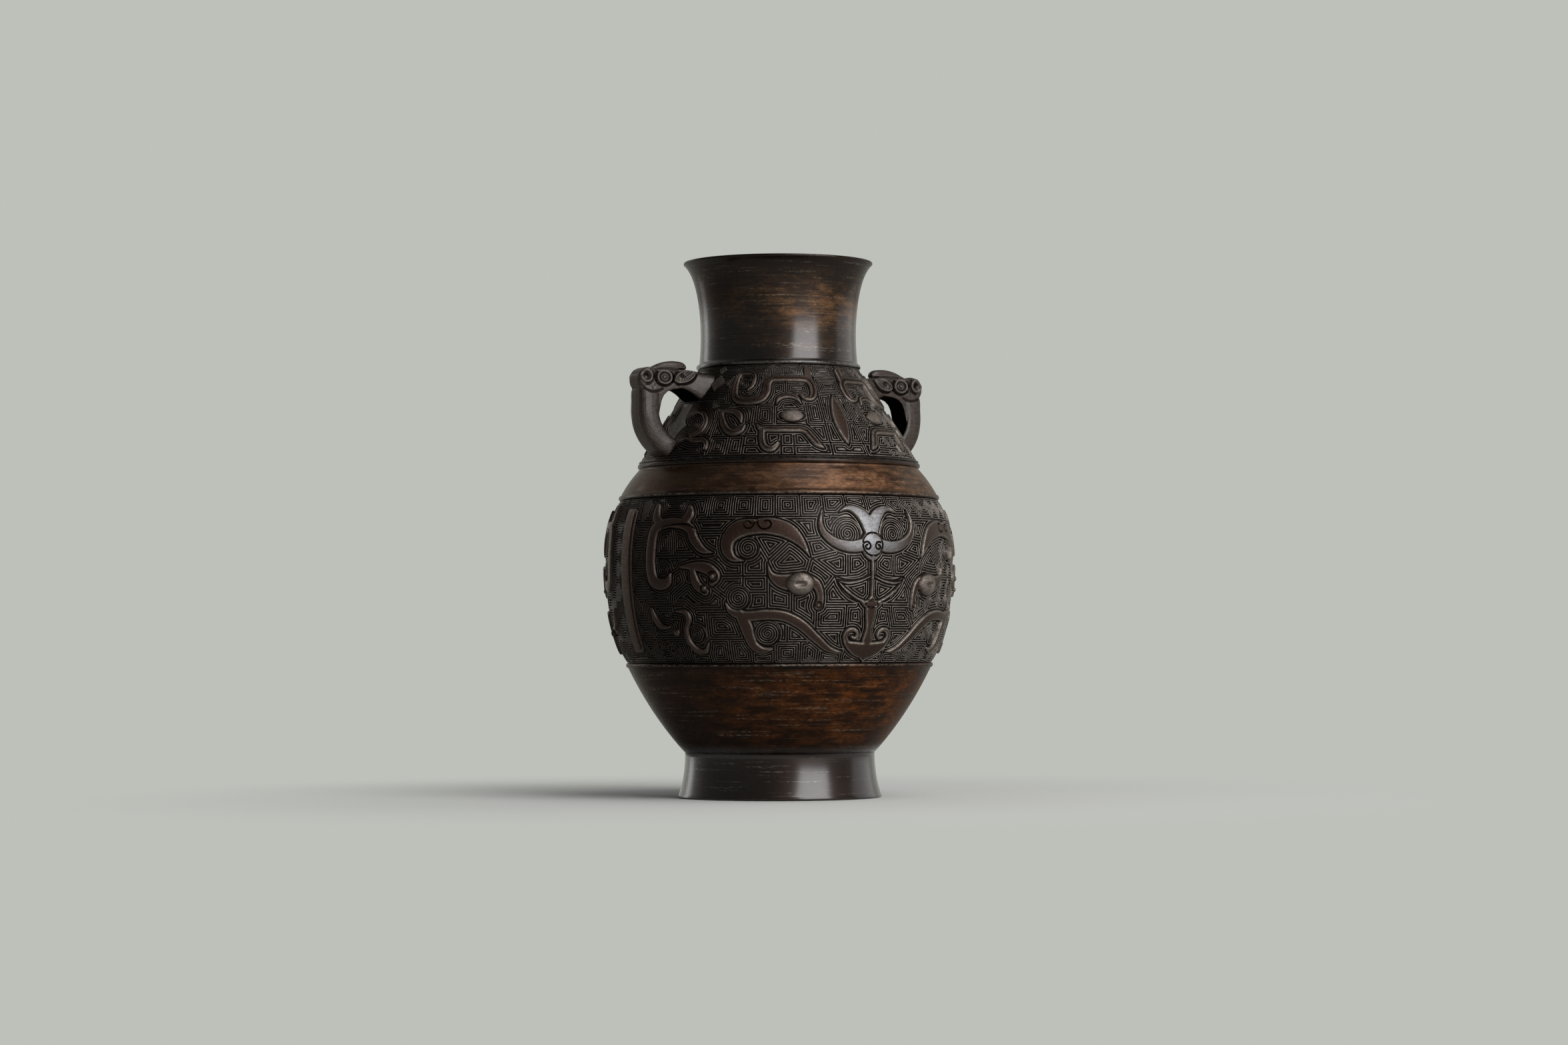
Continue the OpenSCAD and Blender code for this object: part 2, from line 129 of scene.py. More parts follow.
# The outer line of the wall as [radius, z], from the foot up
FOOT_LINE = quad([FOOT_R, 0.8], [WAIST_R, FOOT_HEIGHT * 0.45], [WAIST_R, FOOT_HEIGHT], 12)
LOWER_LINE = quad([WAIST_R + 0.2, FOOT_HEIGHT],
                  [WAIST_R + 0.59 * (LOWER_R - WAIST_R), FOOT_HEIGHT + 0.42 * LOWER_HEIGHT],
                  [LOWER_R, Z_LOWER - HALF], 26)
BELLY_LINE = cubic([LOWER_R, Z_LOWER + HALF], [BELLY_R + 0.8, Z_LOWER + 0.2 * BELLY_HEIGHT],
                   [BELLY_R + 5.8, Z_UPPER - 0.2 * BELLY_HEIGHT], [UPPER_R, Z_UPPER - HALF], 120)
BAND_LINE = quad([UPPER_R, Z_UPPER + HALF], [(UPPER_R + SHOULDER_R) / 2 + 1.5, Z_UPPER + BAND_HEIGHT / 2],
                 [SHOULDER_R + 0.8, Z_SHOULDER - FILLET], 10)
SHOULDER_LINE = np.linspace([SHOULDER_R, Z_SHOULDER + HALF], [NECK_BASE_R, Z_NECK - HALF], 60)
NECK_LINE = cubic([NECK_BASE_R - 0.4, Z_NECK + HALF], [NECK_R - 1.2, Z_NECK + 0.3 * NECK_HEIGHT],
                  [NECK_R + 0.2, Z_NECK + 0.83 * NECK_HEIGHT], [RIM_R - 0.5, Z_RIM - LIP_HEIGHT], 36)
FRIEZE_LINE = np.vstack([BELLY_LINE, SHOULDER_LINE])


def wall_at(z):
    """The wall's radius at a height on the belly or the shoulder."""
    return float(np.interp(z, FRIEZE_LINE[:, 1], FRIEZE_LINE[:, 0]))


class Sheet:
    """A frieze's wall laid flat, its angles kept: across is the turn, up is the way up the wall."""

    def __init__(self, line, radius, low, high):
        self.radius, self.low, self.high = radius, low, high
        self.r, self.z = line.T
        step = np.linalg.norm(np.diff(line, axis=0), axis=1)
        middle = (line[1:, 0] + line[:-1, 0]) / 2
        self.up = np.concatenate([[0], np.cumsum(step / middle)]) * radius
        t = directions(line)
        self.out = np.stack([t[:, 1], -t[:, 0]], 1)
        self.width = radius * math.pi / 2
        self.height = self.up[-1]

    def flat(self, degrees, z):
        return np.stack([-np.radians(degrees) * self.radius, np.interp(z, self.z, self.up)], -1)

    def scale(self, z):
        """Flat millimetres for one real millimetre at a height."""
        return self.radius / np.interp(z, self.z, self.r)

    def wrap(self, flat, rise):
        """Points in metres on the wall, moved out by their rise."""
        turn = -flat[:, 0] / self.radius
        z, r, out_r, out_z = (np.interp(flat[:, 1], self.up, values)
                              for values in (self.z, self.r, self.out[:, 0], self.out[:, 1]))
        r = r + rise * out_r
        return np.stack([r * np.sin(turn), -r * np.cos(turn), z + rise * out_z], 1) * MM


# The relief's strokes: [degrees from the mask's middle, percent of the frieze's height, half width in mm]
BELLY_STROKES = {
    "brow": [[-21.3, 62.5, 0.3], [-23.8, 70, 2.5], [-27.8, 76.8, 4.6], [-33.3, 80, 5], [-38.3, 79.8, 4.6],
        [-43.5, 78.6, 5.2], [-47, 73.5, 4.4], [-47.6, 67, 3.6], [-45.8, 61.8, 2.2], [-42.3, 60.2, 0.5]],
    "jaw": [[-48.5, 36.6, 0.4], [-46.6, 31, 2], [-41.3, 28.6, 3], [-35.3, 29.4, 3.1], [-29.3, 28.4, 3.1],
        [-23.8, 23.5, 3.1], [-18.8, 16, 2.7], [-13.8, 9.6, 2], [-8.9, 8, 0.4]],
    "jaw_hook": [[-43.8, 29.5, 3], [-42, 23, 3.8], [-41, 17, 3.2], [-39.6, 11.6, 2.8], [-36.8, 9, 2.2],
        [-33.6, 9.8, 0.8]],
    "eye_leaf": [[-34.6, 58.7, 0.3], [-33.4, 52, 1.9], [-30.3, 48.4, 4], [-25.3, 47.5, 5.6]],
    "eye_tail": [[-23.5, 51, 2.6], [-19.4, 47, 2.8], [-17.8, 40, 2.2], [-18.3, 34.2, 2.6]],
    "crescent": [[-1, 70.6, 3.8], [-6.6, 68.4, 3.6], [-12, 70, 3.0], [-16.3, 75.4, 2.2], [-17.6, 82, 1.5],
        [-16.7, 90, 0.3]],
    "crest_lobe": [[-0.6, 79, 4.2], [-2.4, 85.6, 3.9], [-5.4, 89.6, 2.6], [-8.2, 90.4, 1.5],
        [-10.9, 88.2, 0.3]],
    "crest_stem": [[0, 82.5, 4.4], [0, 78, 4.5], [0, 74, 5.2], [0, 70.5, 7.2], [0, 68, 7.0],
        [0, 65.6, 5.4]],
    "nose_line": [[0, 60, 1.0], [0, 40, 1.0]],
    "drape": [[-12.2, 48.9, 0.25], [-10.6, 45.6, 0.7], [-7.8, 41.4, 0.85], [-4.8, 38.2, 0.85],
        [-2.2, 36.6, 0.7]],
    "drape_top": [[-12.2, 48.7, 0.25], [-8.6, 47.5, 0.75], [-4.4, 48.7, 0.7], [-0.9, 51.2, 0.5]],
    "nose_head": [[-4.1, 37.6, 0.3], [-2.2, 35.6, 1.9], [0, 35.4, 3.2]],
    "nose_stem": [[0, 40, 0.7], [0, 36.4, 3.0], [0, 31, 3.5], [0, 26, 2.7], [0, 21, 2.2], [0, 15, 3.4]],
    "nose_base": [[-8.3, 13.8, 1.2], [-6.2, 11.6, 2.8], [-3.2, 9.6, 4.4], [0, 8.4, 5.2]],
    "nose_point": [[0, 9, 5.4], [0, 5.4, 2.6], [0, 2.9, 0.4]],
    "nose_curl": [[-7.6, 13.6, 1.7], [-8.5, 17.0, 1.6], [-7.4, 20.3, 1.5], [-5.2, 20.6, 1.35],
        [-4.0, 18.2, 1.2], [-4.8, 15.9, 1.1], [-6.0, 16.6, 0.9]],
    "leg": [[-68, 53.5, 0.5], [-69.8, 47.8, 3], [-74.6, 48.4, 3.6], [-76.4, 56, 3.5], [-76.4, 69, 3.5],
        [-75.2, 79.4, 3.3], [-70.3, 82.6, 3.1], [-64.8, 82.2, 3.1], [-60.9, 79, 3], [-59.2, 73, 2.9],
        [-56.2, 67, 2.3], [-52.4, 65, 0.4]],
    "leg_horn": [[-72.5, 82, 2.6], [-75.4, 86, 2.8], [-76, 93, 1.6]],
    "ear_horn": [[-64, 82, 2.8], [-61.7, 87, 2.8], [-61.8, 91.6, 1.4]],
    "claw": [[-64, 57, 0.8], [-59.3, 57.4, 2.4], [-54.6, 56.2, 3.4], [-51.7, 51.8, 3.3], [-52.8, 47.6, 2]],
    "toe": [[-59.6, 55, 2], [-58.2, 47, 2.8], [-55.3, 42.6, 2.4]],
    "spur": [[-77.2, 33.6, 0.5], [-76, 27, 1.7], [-73.6, 22.8, 1.7], [-70.2, 22.6, 0.7]],
    "curl": [[-67, 31.6, 0.7], [-63.3, 31.2, 1.6], [-62, 27, 1.8], [-63.5, 21, 1.6], [-63.1, 14, 1.6],
        [-60.6, 9.2, 1.8], [-57.4, 8.6, 1.6], [-55.7, 13.4, 0.7]],
}
SHOULDER_STROKES = {
    "horn": [[-49, 70, 0.8], [-46.6, 75.4, 1.4], [-46, 83.5, 1.4], [-48, 87.8, 1.4], [-53, 88.4, 1.4],
        [-56.6, 86.4, 1.5], [-57.4, 77, 1.8], [-56.4, 66, 2.3], [-53.2, 60, 2.6], [-46.5, 59, 2.7],
        [-40.6, 61, 2.7], [-38, 68.5, 2.7], [-37.6, 77, 2.5], [-35, 81.6, 2.2], [-30, 82, 2.2],
        [-21, 82, 2.2], [-13.8, 81.4, 2.3], [-10.9, 76, 2.4], [-10.8, 67.4, 2.3], [-12.8, 61.6, 1.9],
        [-16.4, 61.2, 1.4], [-18.8, 65, 0.7]],
    "horn_top": [[-12.2, 80, 2.4], [-11.8, 91, 2.2]],
    "small_brow": [[-32, 55, 0.5], [-30.8, 61, 1.5], [-26.8, 63.8, 1.9], [-21.8, 62.4, 1.7],
        [-19, 55.4, 0.5]],
    "small_eye": [[-28.6, 43.2, 2.4], [-24.4, 43.2, 3], [-20.2, 43.2, 2.4]],
    "small_jaw": [[-41.3, 34.6, 0.5], [-39.3, 30.2, 1.8], [-33.8, 29.2, 2.1], [-25.8, 29.2, 2.2],
        [-19.6, 28.4, 2.2], [-16.8, 22, 2.4], [-14.6, 14.6, 2.3], [-12, 9.8, 0.7]],
    "small_hook": [[-38.6, 29.6, 1.9], [-38.2, 18, 2.1], [-36.8, 10.6, 2.2], [-33.8, 8.8, 2.1],
        [-31.2, 14.4, 1.2]],
    "scroll_left": [[-61.1, 49, 1.1], [-59.3, 39.6, 1.9], [-55.8, 30, 2.3], [-52.2, 26.4, 2.4],
        [-48.6, 28.6, 2.1], [-46.8, 33.4, 0.7]],
    "scroll_right": [[-60.9, 48.4, 1.1], [-54.8, 48.4, 1.8], [-50.8, 44, 2.2], [-49.2, 37, 0.9]],
    "side_curl": [[-77, 49, 0.9], [-72, 46.6, 1.6], [-69, 39, 1.8], [-69.6, 29.4, 1.8], [-74, 24, 1.4]],
    "side_foot": [[-77.4, 21.6, 0.9], [-71.4, 19.6, 1.8], [-66.4, 19.4, 1.8], [-63.9, 15.4, 1.8],
        [-63.5, 10, 1.2]],
}


def turned(by, chains):
    """Chains of [degrees, z] read from the photograph, turned to count from the mask's middle.

    The middle itself, 0, and the frieze's side, -90, stay where they are.
    """
    return [[[d if d in (0, -90) else d + by, z] for d, z in chain] for chain in chains]


# How far the photograph's own turn lies from the turn that counts from the mask's middle, in degrees
BELLY_TURN = 1.7
SHOULDER_TURN = 4.2

# Borders of the ground's cells, as chains of [degrees, z]
BELLY_BORDERS = turned(BELLY_TURN, [
    [[-56.6, 178], [-56.6, 164.2]], [[-48.6, 178], [-48.6, 164.2]], [[-40.6, 178], [-40.6, 164]],
    [[-34, 178], [-34, 164.2]], [[-25.7, 178], [-25.7, 164.2]], [[-17.8, 178], [-17.8, 164.2]],
    [[-9.8, 178], [-9.8, 168]], [[0, 178], [0, 168]], [[-59.6, 164.2], [-16.8, 164.2]],
    [[-17.8, 166.4], [-12.6, 166.4]], [[-59.4, 154.8], [-51.5, 154.8]], [[-23.6, 151], [-19.6, 151.8]],
    [[-22.4, 140.2], [-14.6, 143.6]], [[-40.4, 152.4], [-36.1, 139.3], [-29.7, 150.2]],
    [[-36.1, 139.3], [-36.7, 130.2]], [[-22.4, 140.2], [-23.9, 131.4]],
    [[-22.4, 140.2], [-14.8, 130.2], [-18.1, 122.6]], [[-10.4, 142], [-10.4, 130.2]],
    [[-14.8, 130.2], [-10.4, 130.2]], [[-10.4, 130.2], [-6.8, 130.9], [-3.2, 134.4]],
    [[-14.8, 130.2], [-11.6, 128.3], [-8.2, 128], [-5.4, 129], [-3.2, 131.2]],
    [[-14.8, 130.2], [-13.9, 125.6], [-12.2, 121.2], [-9.8, 117.6], [-6.9, 115.4], [-4.8, 116.2],
     [-3.2, 119.4], [-3.2, 139]], [[0, 139], [0, 119]], [[-17.4, 113.6], [-7.2, 113.6]],
    [[-20.6, 110.2], [-20.6, 99.9], [-10.6, 99.9]], [[-10.4, 113.6], [-10.4, 99.9]],
    [[-28.8, 120], [-28.8, 109.6]], [[-36.6, 130.2], [-36.6, 110.5]], [[-44.3, 120.9], [-36.6, 120.9]],
    [[-44.3, 139.4], [-44.3, 123.2]], [[-51.6, 130.2], [-36.6, 130.2]], [[-50.3, 118.6], [-54.4, 124]],
    [[-57.2, 109.6], [-57.2, 94.2], [-44.5, 94.2]], [[-60.4, 109.6], [-49.6, 109.6]],
    [[-50, 94.2], [-50, 79]], [[-42, 87], [-42, 79]], [[-34.6, 91.5], [-34.6, 79]], [[-58, 88], [-58, 79]],
    [[-34.2, 92.5], [-23.4, 92.5]], [[-30.1, 101.4], [-30.1, 92.5]], [[-25.4, 92.5], [-25.4, 79]],
    [[-18.6, 87], [-18.6, 79]], [[-10.5, 88], [-10.5, 79]], [[0, 84], [0, 79]],
    [[-75.6, 142.4], [-61, 142.4]], [[-69.3, 158], [-69.3, 142.4]], [[-69.4, 131.6], [-62, 138.8]],
    [[-65.6, 135.4], [-64, 126.6], [-60.8, 124.6]], [[-64, 126.6], [-69.6, 119.6]],
    [[-69.6, 119.6], [-69.6, 109.4]], [[-80, 113.4], [-65.4, 113.4]], [[-88, 94.2], [-66, 94.2]],
    [[-80.4, 113.4], [-80.4, 79]], [[-72.2, 87], [-72.2, 79]], [[-65.6, 94.2], [-65.6, 79]],
    [[-77.4, 178], [-77.4, 172]], [[-90, 104], [-80.4, 104]], [[-90, 122], [-79.6, 122]],
    [[-90, 135.5], [-79.6, 135.5]], [[-90, 149], [-79.6, 149]], [[-90, 162], [-79.4, 162]],
    [[-84.5, 178], [-84.5, 162]],
])
SHOULDER_BORDERS = turned(SHOULDER_TURN, [
    [[-12.6, 255.8], [-12.6, 200.5]], [[-12.6, 247.5], [0, 247.5]], [[-12.6, 237.5], [0, 237.5]],
    [[-12.6, 221], [0, 221]], [[-12.6, 208], [0, 208]], [[-20.8, 232], [-20.8, 219.5]],
    [[-20.8, 219.5], [-12.6, 219.5]], [[-20.8, 208], [-12.6, 208]], [[-39.8, 255.5], [-39.8, 248.6]],
    [[-31.3, 255.5], [-31.3, 248.6]], [[-20.4, 255.5], [-20.4, 248.6]], [[-66.6, 222], [-66.6, 200.5]],
    [[-68, 230.5], [-37, 230.5]], [[-46.8, 230], [-46.8, 219]], [[-37.3, 232], [-37.3, 219.5]],
    [[-31.2, 246], [-31.2, 236.5]], [[-28.7, 212], [-28.7, 200.5]], [[-34.2, 212], [-34.2, 200.5]],
    [[-34, 206], [-22, 206]], [[-57.4, 212], [-57.4, 200.5]], [[-50.4, 212], [-50.4, 200.5]],
    [[-66.6, 212], [-44, 212]], [[-50.4, 206.3], [-44, 206.3]], [[-90, 240], [-66, 240]],
    [[-90, 250], [-50, 250]], [[-76, 257], [-76, 240]],
])
# Rings and spirals in the ground: [degrees, z, radius]
BELLY_RINGS = [[d + BELLY_TURN, z, radius] for d, z, radius in [
    [-10.3, Z_LOWER + 0.758 * BELLY_HEIGHT, 8.3], [-42.6, 146.1, 6.3], [-46, 117.6, 7.1],
    [-36.7, 97.3, 7.4], [-61.6, 97.4, 5.6], [-72.6, 134.6, 4.6], [-76, 90, 3.6]]]
SHOULDER_RINGS = [[-56.5 + SHOULDER_TURN, 243.5, 4.0]]
# Domes: [degrees, z, half width, half height, rise, half sizes of the cut pupil]
BELLY_DOMES = [
    [-24.3, Z_LOWER + 0.47 * BELLY_HEIGHT, 7.9, 6.5, 4.6, (3.0, 1.5)],
    [-67.3, Z_LOWER + 0.194 * BELLY_HEIGHT, 2.2, 2.2, 2.6, None],
    [-54.2 + BELLY_TURN, 130.0, 1.7, 1.7, 2.8, None], [-57 + BELLY_TURN, 123.5, 1.5, 1.5, 2.6, None],
    [-20.25 + BELLY_TURN, 113.5, 1.0, 1.0, 2.6, None],
]
SHOULDER_DOMES = [[-24.4, Z_SHOULDER + 0.432 * SHOULDER_HEIGHT, 6.6, 4.4, 1.9, None]]


def ring_chain(degrees, z, radius, start=0, turn=360, curl=1.0, n=15):
    """A round or spiral cut as a chain of [degrees, z]; it ends at curl times its radius."""
    a = np.radians(np.linspace(start, start + turn, n))
    r = radius * np.linspace(1, curl, n)
    return np.stack([degrees - np.degrees(r * np.cos(a) / wall_at(z)), z + r * np.sin(a)], 1).tolist()


def spine_cuts(strokes, low, high, skip):
    """The fine line cut along the middle of each stroke, as chains of [degrees, z]."""
    narrowest, fewest = 1.15, 3
    chains = [[[d, low + (high - low) * percent / 100] for d, percent, half in points if half > narrowest]
              for name, points in strokes.items() if name != skip]
    return [chain for chain in chains if len(chain) >= fewest]


# Lines cut into the relief, as chains of [degrees, z]
BELLY_CUTS = turned(BELLY_TURN, [
    [[-40.1, 165], [-40.2, 161.8]],
    [[-40.4, 163], [-40.7, 159.8], [-41.5, 157.7], [-42.9, 157.3], [-44, 158.8], [-43.8, 160.7],
     [-42.7, 161.5], [-41.8, 160.4]],
    [[-39.9, 163], [-39.5, 159.8], [-38.7, 157.6], [-37.3, 156.7], [-35.8, 157.6], [-35.2, 159.6],
     [-36.1, 161.5], [-37.4, 161.2]],
]) + [
    ring_chain(-54.2 + BELLY_TURN, 130.0, 2.8), ring_chain(-57 + BELLY_TURN, 123.5, 2.6),
    ring_chain(-20.25 + BELLY_TURN, 113.5, 1.9), ring_chain(0, 148.4, 6.6, 88, -176),
    ring_chain(-2.1, 147.2, 2.9, 20, 420, 0.25, 21),
    [[-0.4, 116.6], [-2.0, 115.4], [-2.2, 113.2], [-0.8, 112.6]],
] + turned(BELLY_TURN, [
    [[-74.9, 137], [-75, 156], [-70.3, 159.8], [-63, 159.6], [-59.2, 154], [-55.8, 145.6]],
])
SHOULDER_CUTS = spine_cuts(SHOULDER_STROKES, Z_SHOULDER, Z_NECK, "small_eye")
# The flange under each handle: half width, lower end, upper end, and how far its lower step stands past it
FLANGE_HALF, FLANGE_LOW, FLANGE_HIGH, FLANGE_STEP = 3.2, 88.95, 168.55, 2.5
# The upright lens on the middle of the shoulder
LENS_LOW, LENS_HIGH, LENS_HALF, LENS_POINTS = 206.5, 236.7, 4.6, 14


def chain_distance(points, a, b, wa=0.0, wb=0.0):
    """Distance of each point to a segment, less a half width that changes along it."""
    d = b - a
    t = np.clip(((points - a) @ d) / max(d @ d, 1e-12), 0, 1)
    q = points - a - t[..., None] * d
    return np.sqrt((q ** 2).sum(-1)) - (wa + (wb - wa) * t)


# A value that is further away than anything that matters, in mm
FAR = 9.0


class Grid:
    """Values on a fine square grid over a sheet."""

    def __init__(self, sheet, step):
        self.nx = int(math.ceil(sheet.width / step)) + 1
        self.ny = int(math.ceil(sheet.height / step)) + 1
        self.sx = sheet.width / (self.nx - 1)
        self.sy = sheet.height / (self.ny - 1)
        self.x = np.arange(self.nx) * self.sx
        self.y = np.arange(self.ny) * self.sy
        self.v = np.full((self.ny, self.nx), FAR)

    def like(self, values=None):
        """A grid of the same size, with the values given or far away."""
        g = Grid.__new__(Grid)
        g.__dict__.update(self.__dict__)
        g.v = np.full((self.ny, self.nx), FAR) if values is None else values
        return g

    def window(self, low, high, margin):
        """The cells round a box, and the places of their points."""
        x0, x1 = np.searchsorted(self.x, [low[0] - margin, high[0] + margin])
        y0, y1 = np.searchsorted(self.y, [low[1] - margin, high[1] + margin])
        if x0 >= x1 or y0 >= y1:
            return None, None
        return (slice(y0, y1), slice(x0, x1)), np.stack(np.meshgrid(self.x[x0:x1], self.y[y0:y1]), -1)

    def lay(self, chain):
        """Takes the distance to a chain where it is the least. Points can have a half width."""
        chain = np.asarray(chain, float)
        w = chain[:, 2] if chain.shape[1] > 2 else np.zeros(len(chain))
        for i in range(len(chain) - 1):
            a, b = chain[i, :2], chain[i + 1, :2]
            cells, p = self.window(np.minimum(a, b), np.maximum(a, b), FAR + max(w[i], w[i + 1]))
            if cells:
                self.v[cells] = np.minimum(self.v[cells], chain_distance(p, a, b, w[i], w[i + 1]))

    def at(self, points):
        """Values between the grid's points."""
        fx = np.clip(points[:, 0] / self.sx, 0, self.nx - 1.001)
        fy = np.clip(points[:, 1] / self.sy, 0, self.ny - 1.001)
        i, j = fy.astype(int), fx.astype(int)
        u, v = fx - j, fy - i
        g = self.v
        return ((1 - v) * ((1 - u) * g[i, j] + u * g[i, j + 1])
                + v * ((1 - u) * g[i + 1, j] + u * g[i + 1, j + 1]))

    def crossings(self, level):
        """Where the level crosses the grid's lines, and the pairs of these places that it joins."""
        g = self.v - level
        g = np.where(g == 0, 1e-9, g)
        ny, nx = g.shape
        inside = g > 0
        i, j = np.nonzero(inside[:, :-1] != inside[:, 1:])
        t = g[i, j] / (g[i, j] - g[i, j + 1])
        level_places = np.stack([(j + t) * self.sx, i * self.sy], 1)
        k, m = np.nonzero(inside[:-1] != inside[1:])
        t = g[k, m] / (g[k, m] - g[k + 1, m])
        upright_places = np.stack([m * self.sx, (k + t) * self.sy], 1)
        first_upright = ny * nx
        numbers = np.concatenate([i * nx + j, first_upright + k * nx + m]).tolist()
        number_of = dict(zip(numbers, range(len(numbers))))
        # the sides of a cell that a level line joins, by which of its corners lie inside
        sides = {1: [(3, 0)], 2: [(0, 1)], 3: [(3, 1)], 4: [(1, 2)], 6: [(0, 2)], 7: [(3, 2)], 8: [(2, 3)],
                 9: [(2, 0)], 11: [(2, 1)], 12: [(1, 3)], 13: [(1, 0)], 14: [(0, 3)],
                 5: [(3, 2), (1, 0)], 10: [(0, 3), (2, 1)]}
        code = inside[:-1, :-1] * 1 + inside[:-1, 1:] * 2 + inside[1:, 1:] * 4 + inside[1:, :-1] * 8
        ci, cj = np.nonzero((code > 0) & (code < 15))
        pairs = []
        for y, x, kind in zip(ci.tolist(), cj.tolist(), code[ci, cj].tolist()):
            ids = (y * nx + x, first_upright + y * nx + x + 1, (y + 1) * nx + x, first_upright + y * nx + x)
            pairs += [(number_of[ids[s]], number_of[ids[e]]) for s, e in sides[kind]]
        return np.vstack([level_places, upright_places]), pairs

    def contours(self, level):
        """Lines along which the value is the level."""
        places, pairs = self.crossings(level)
        links = {}
        for a, b in pairs:
            links.setdefault(a, []).append(b)
            links.setdefault(b, []).append(a)
        lines = []
        open_ends = True
        while links:
            start = next((k for k, v in links.items() if len(v) == 1), None) if open_ends else None
            open_ends = start is not None
            here = start if open_ends else next(iter(links))
            line = [here]
            while links.get(here):
                there = links[here].pop()
                links[there].remove(here)
                for k in (here, there):
                    if not links[k]:
                        del links[k]
                line.append(there)
                here = there
            lines.append(places[line])
        return lines


def thinned(line, slack, longest):
    """The chain with points left out where it is straight, and none further apart than the longest step."""
    keep = np.zeros(len(line), bool)
    keep[[0, -1]] = True
    stack = [(0, len(line) - 1)]
    while stack:
        a, b = stack.pop()
        if b - a < 2:
            continue
        d = line[b] - line[a]
        n = math.hypot(*d)
        q = line[a + 1:b] - line[a]
        off = np.abs(q[:, 0] * d[1] - q[:, 1] * d[0]) / n if n > 1e-9 else np.hypot(q[:, 0], q[:, 1])
        k = int(off.argmax())
        if off[k] > slack or n > longest:
            if off[k] <= slack:
                k = (b - a) // 2 - 1
            keep[a + 1 + k] = True
            stack += [(a, a + 1 + k), (a + 1 + k, b)]
    return line[keep]


def lattice(xs, ys):
    return np.stack(np.meshgrid(xs, ys), -1).reshape(-1, 2)


def inside_sheet(p, sheet, margin):
    return ((p > margin) & (p < [sheet.width - margin, sheet.height - margin])).all(1)


def triangulated(points, edges):
    flat, _, faces, origin, _, _ = delaunay_2d_cdt([Vector(p) for p in points], edges, [], 0, 1e-4, True)
    return np.array([tuple(p) for p in flat]), faces, origin


class Carving:
    """The points and lines that a frieze's mesh has to follow, with heights for those that have one."""

    def __init__(self):
        self.points = []
        self.edges = []
        self.given = []

    def line(self, chain, rise=np.nan, closed=False):
        start = len(self.points)
        self.points += [tuple(p[:2]) for p in chain]
        self.given += [rise] * len(chain)
        self.edges += [(start + i, start + i + 1) for i in range(len(chain) - 1)]
        if closed:
            self.edges.append((len(self.points) - 1, start))

    def contours(self, grid, level, shortest, slack, longest, rise=np.nan):
        for line in grid.contours(level):
            if len(line) > shortest:
                self.line(thinned(line, slack, longest), rise)

    def ellipse(self, middle, half_x, half_y, share, n):
        a = np.linspace(0, 2 * math.pi, n, endpoint=False)
        self.line(middle + share * np.stack([half_x * np.cos(a), half_y * np.sin(a)], 1), closed=True)

    def dots(self, points):
        self.points += [tuple(p) for p in points]
        self.given += [np.nan] * len(points)

    def frame(self, width, height, step):
        corners = [(0, 0), (width, 0), (width, height), (0, height), (0, 0)]
        sides = []
        for a, b in zip(corners, corners[1:]):
            n = int(math.dist(a, b) / step) + 1
            sides.append(np.column_stack([np.linspace(a[k], b[k], n)[:-1] for k in (0, 1)]))
        self.line(np.vstack(sides), closed=True)


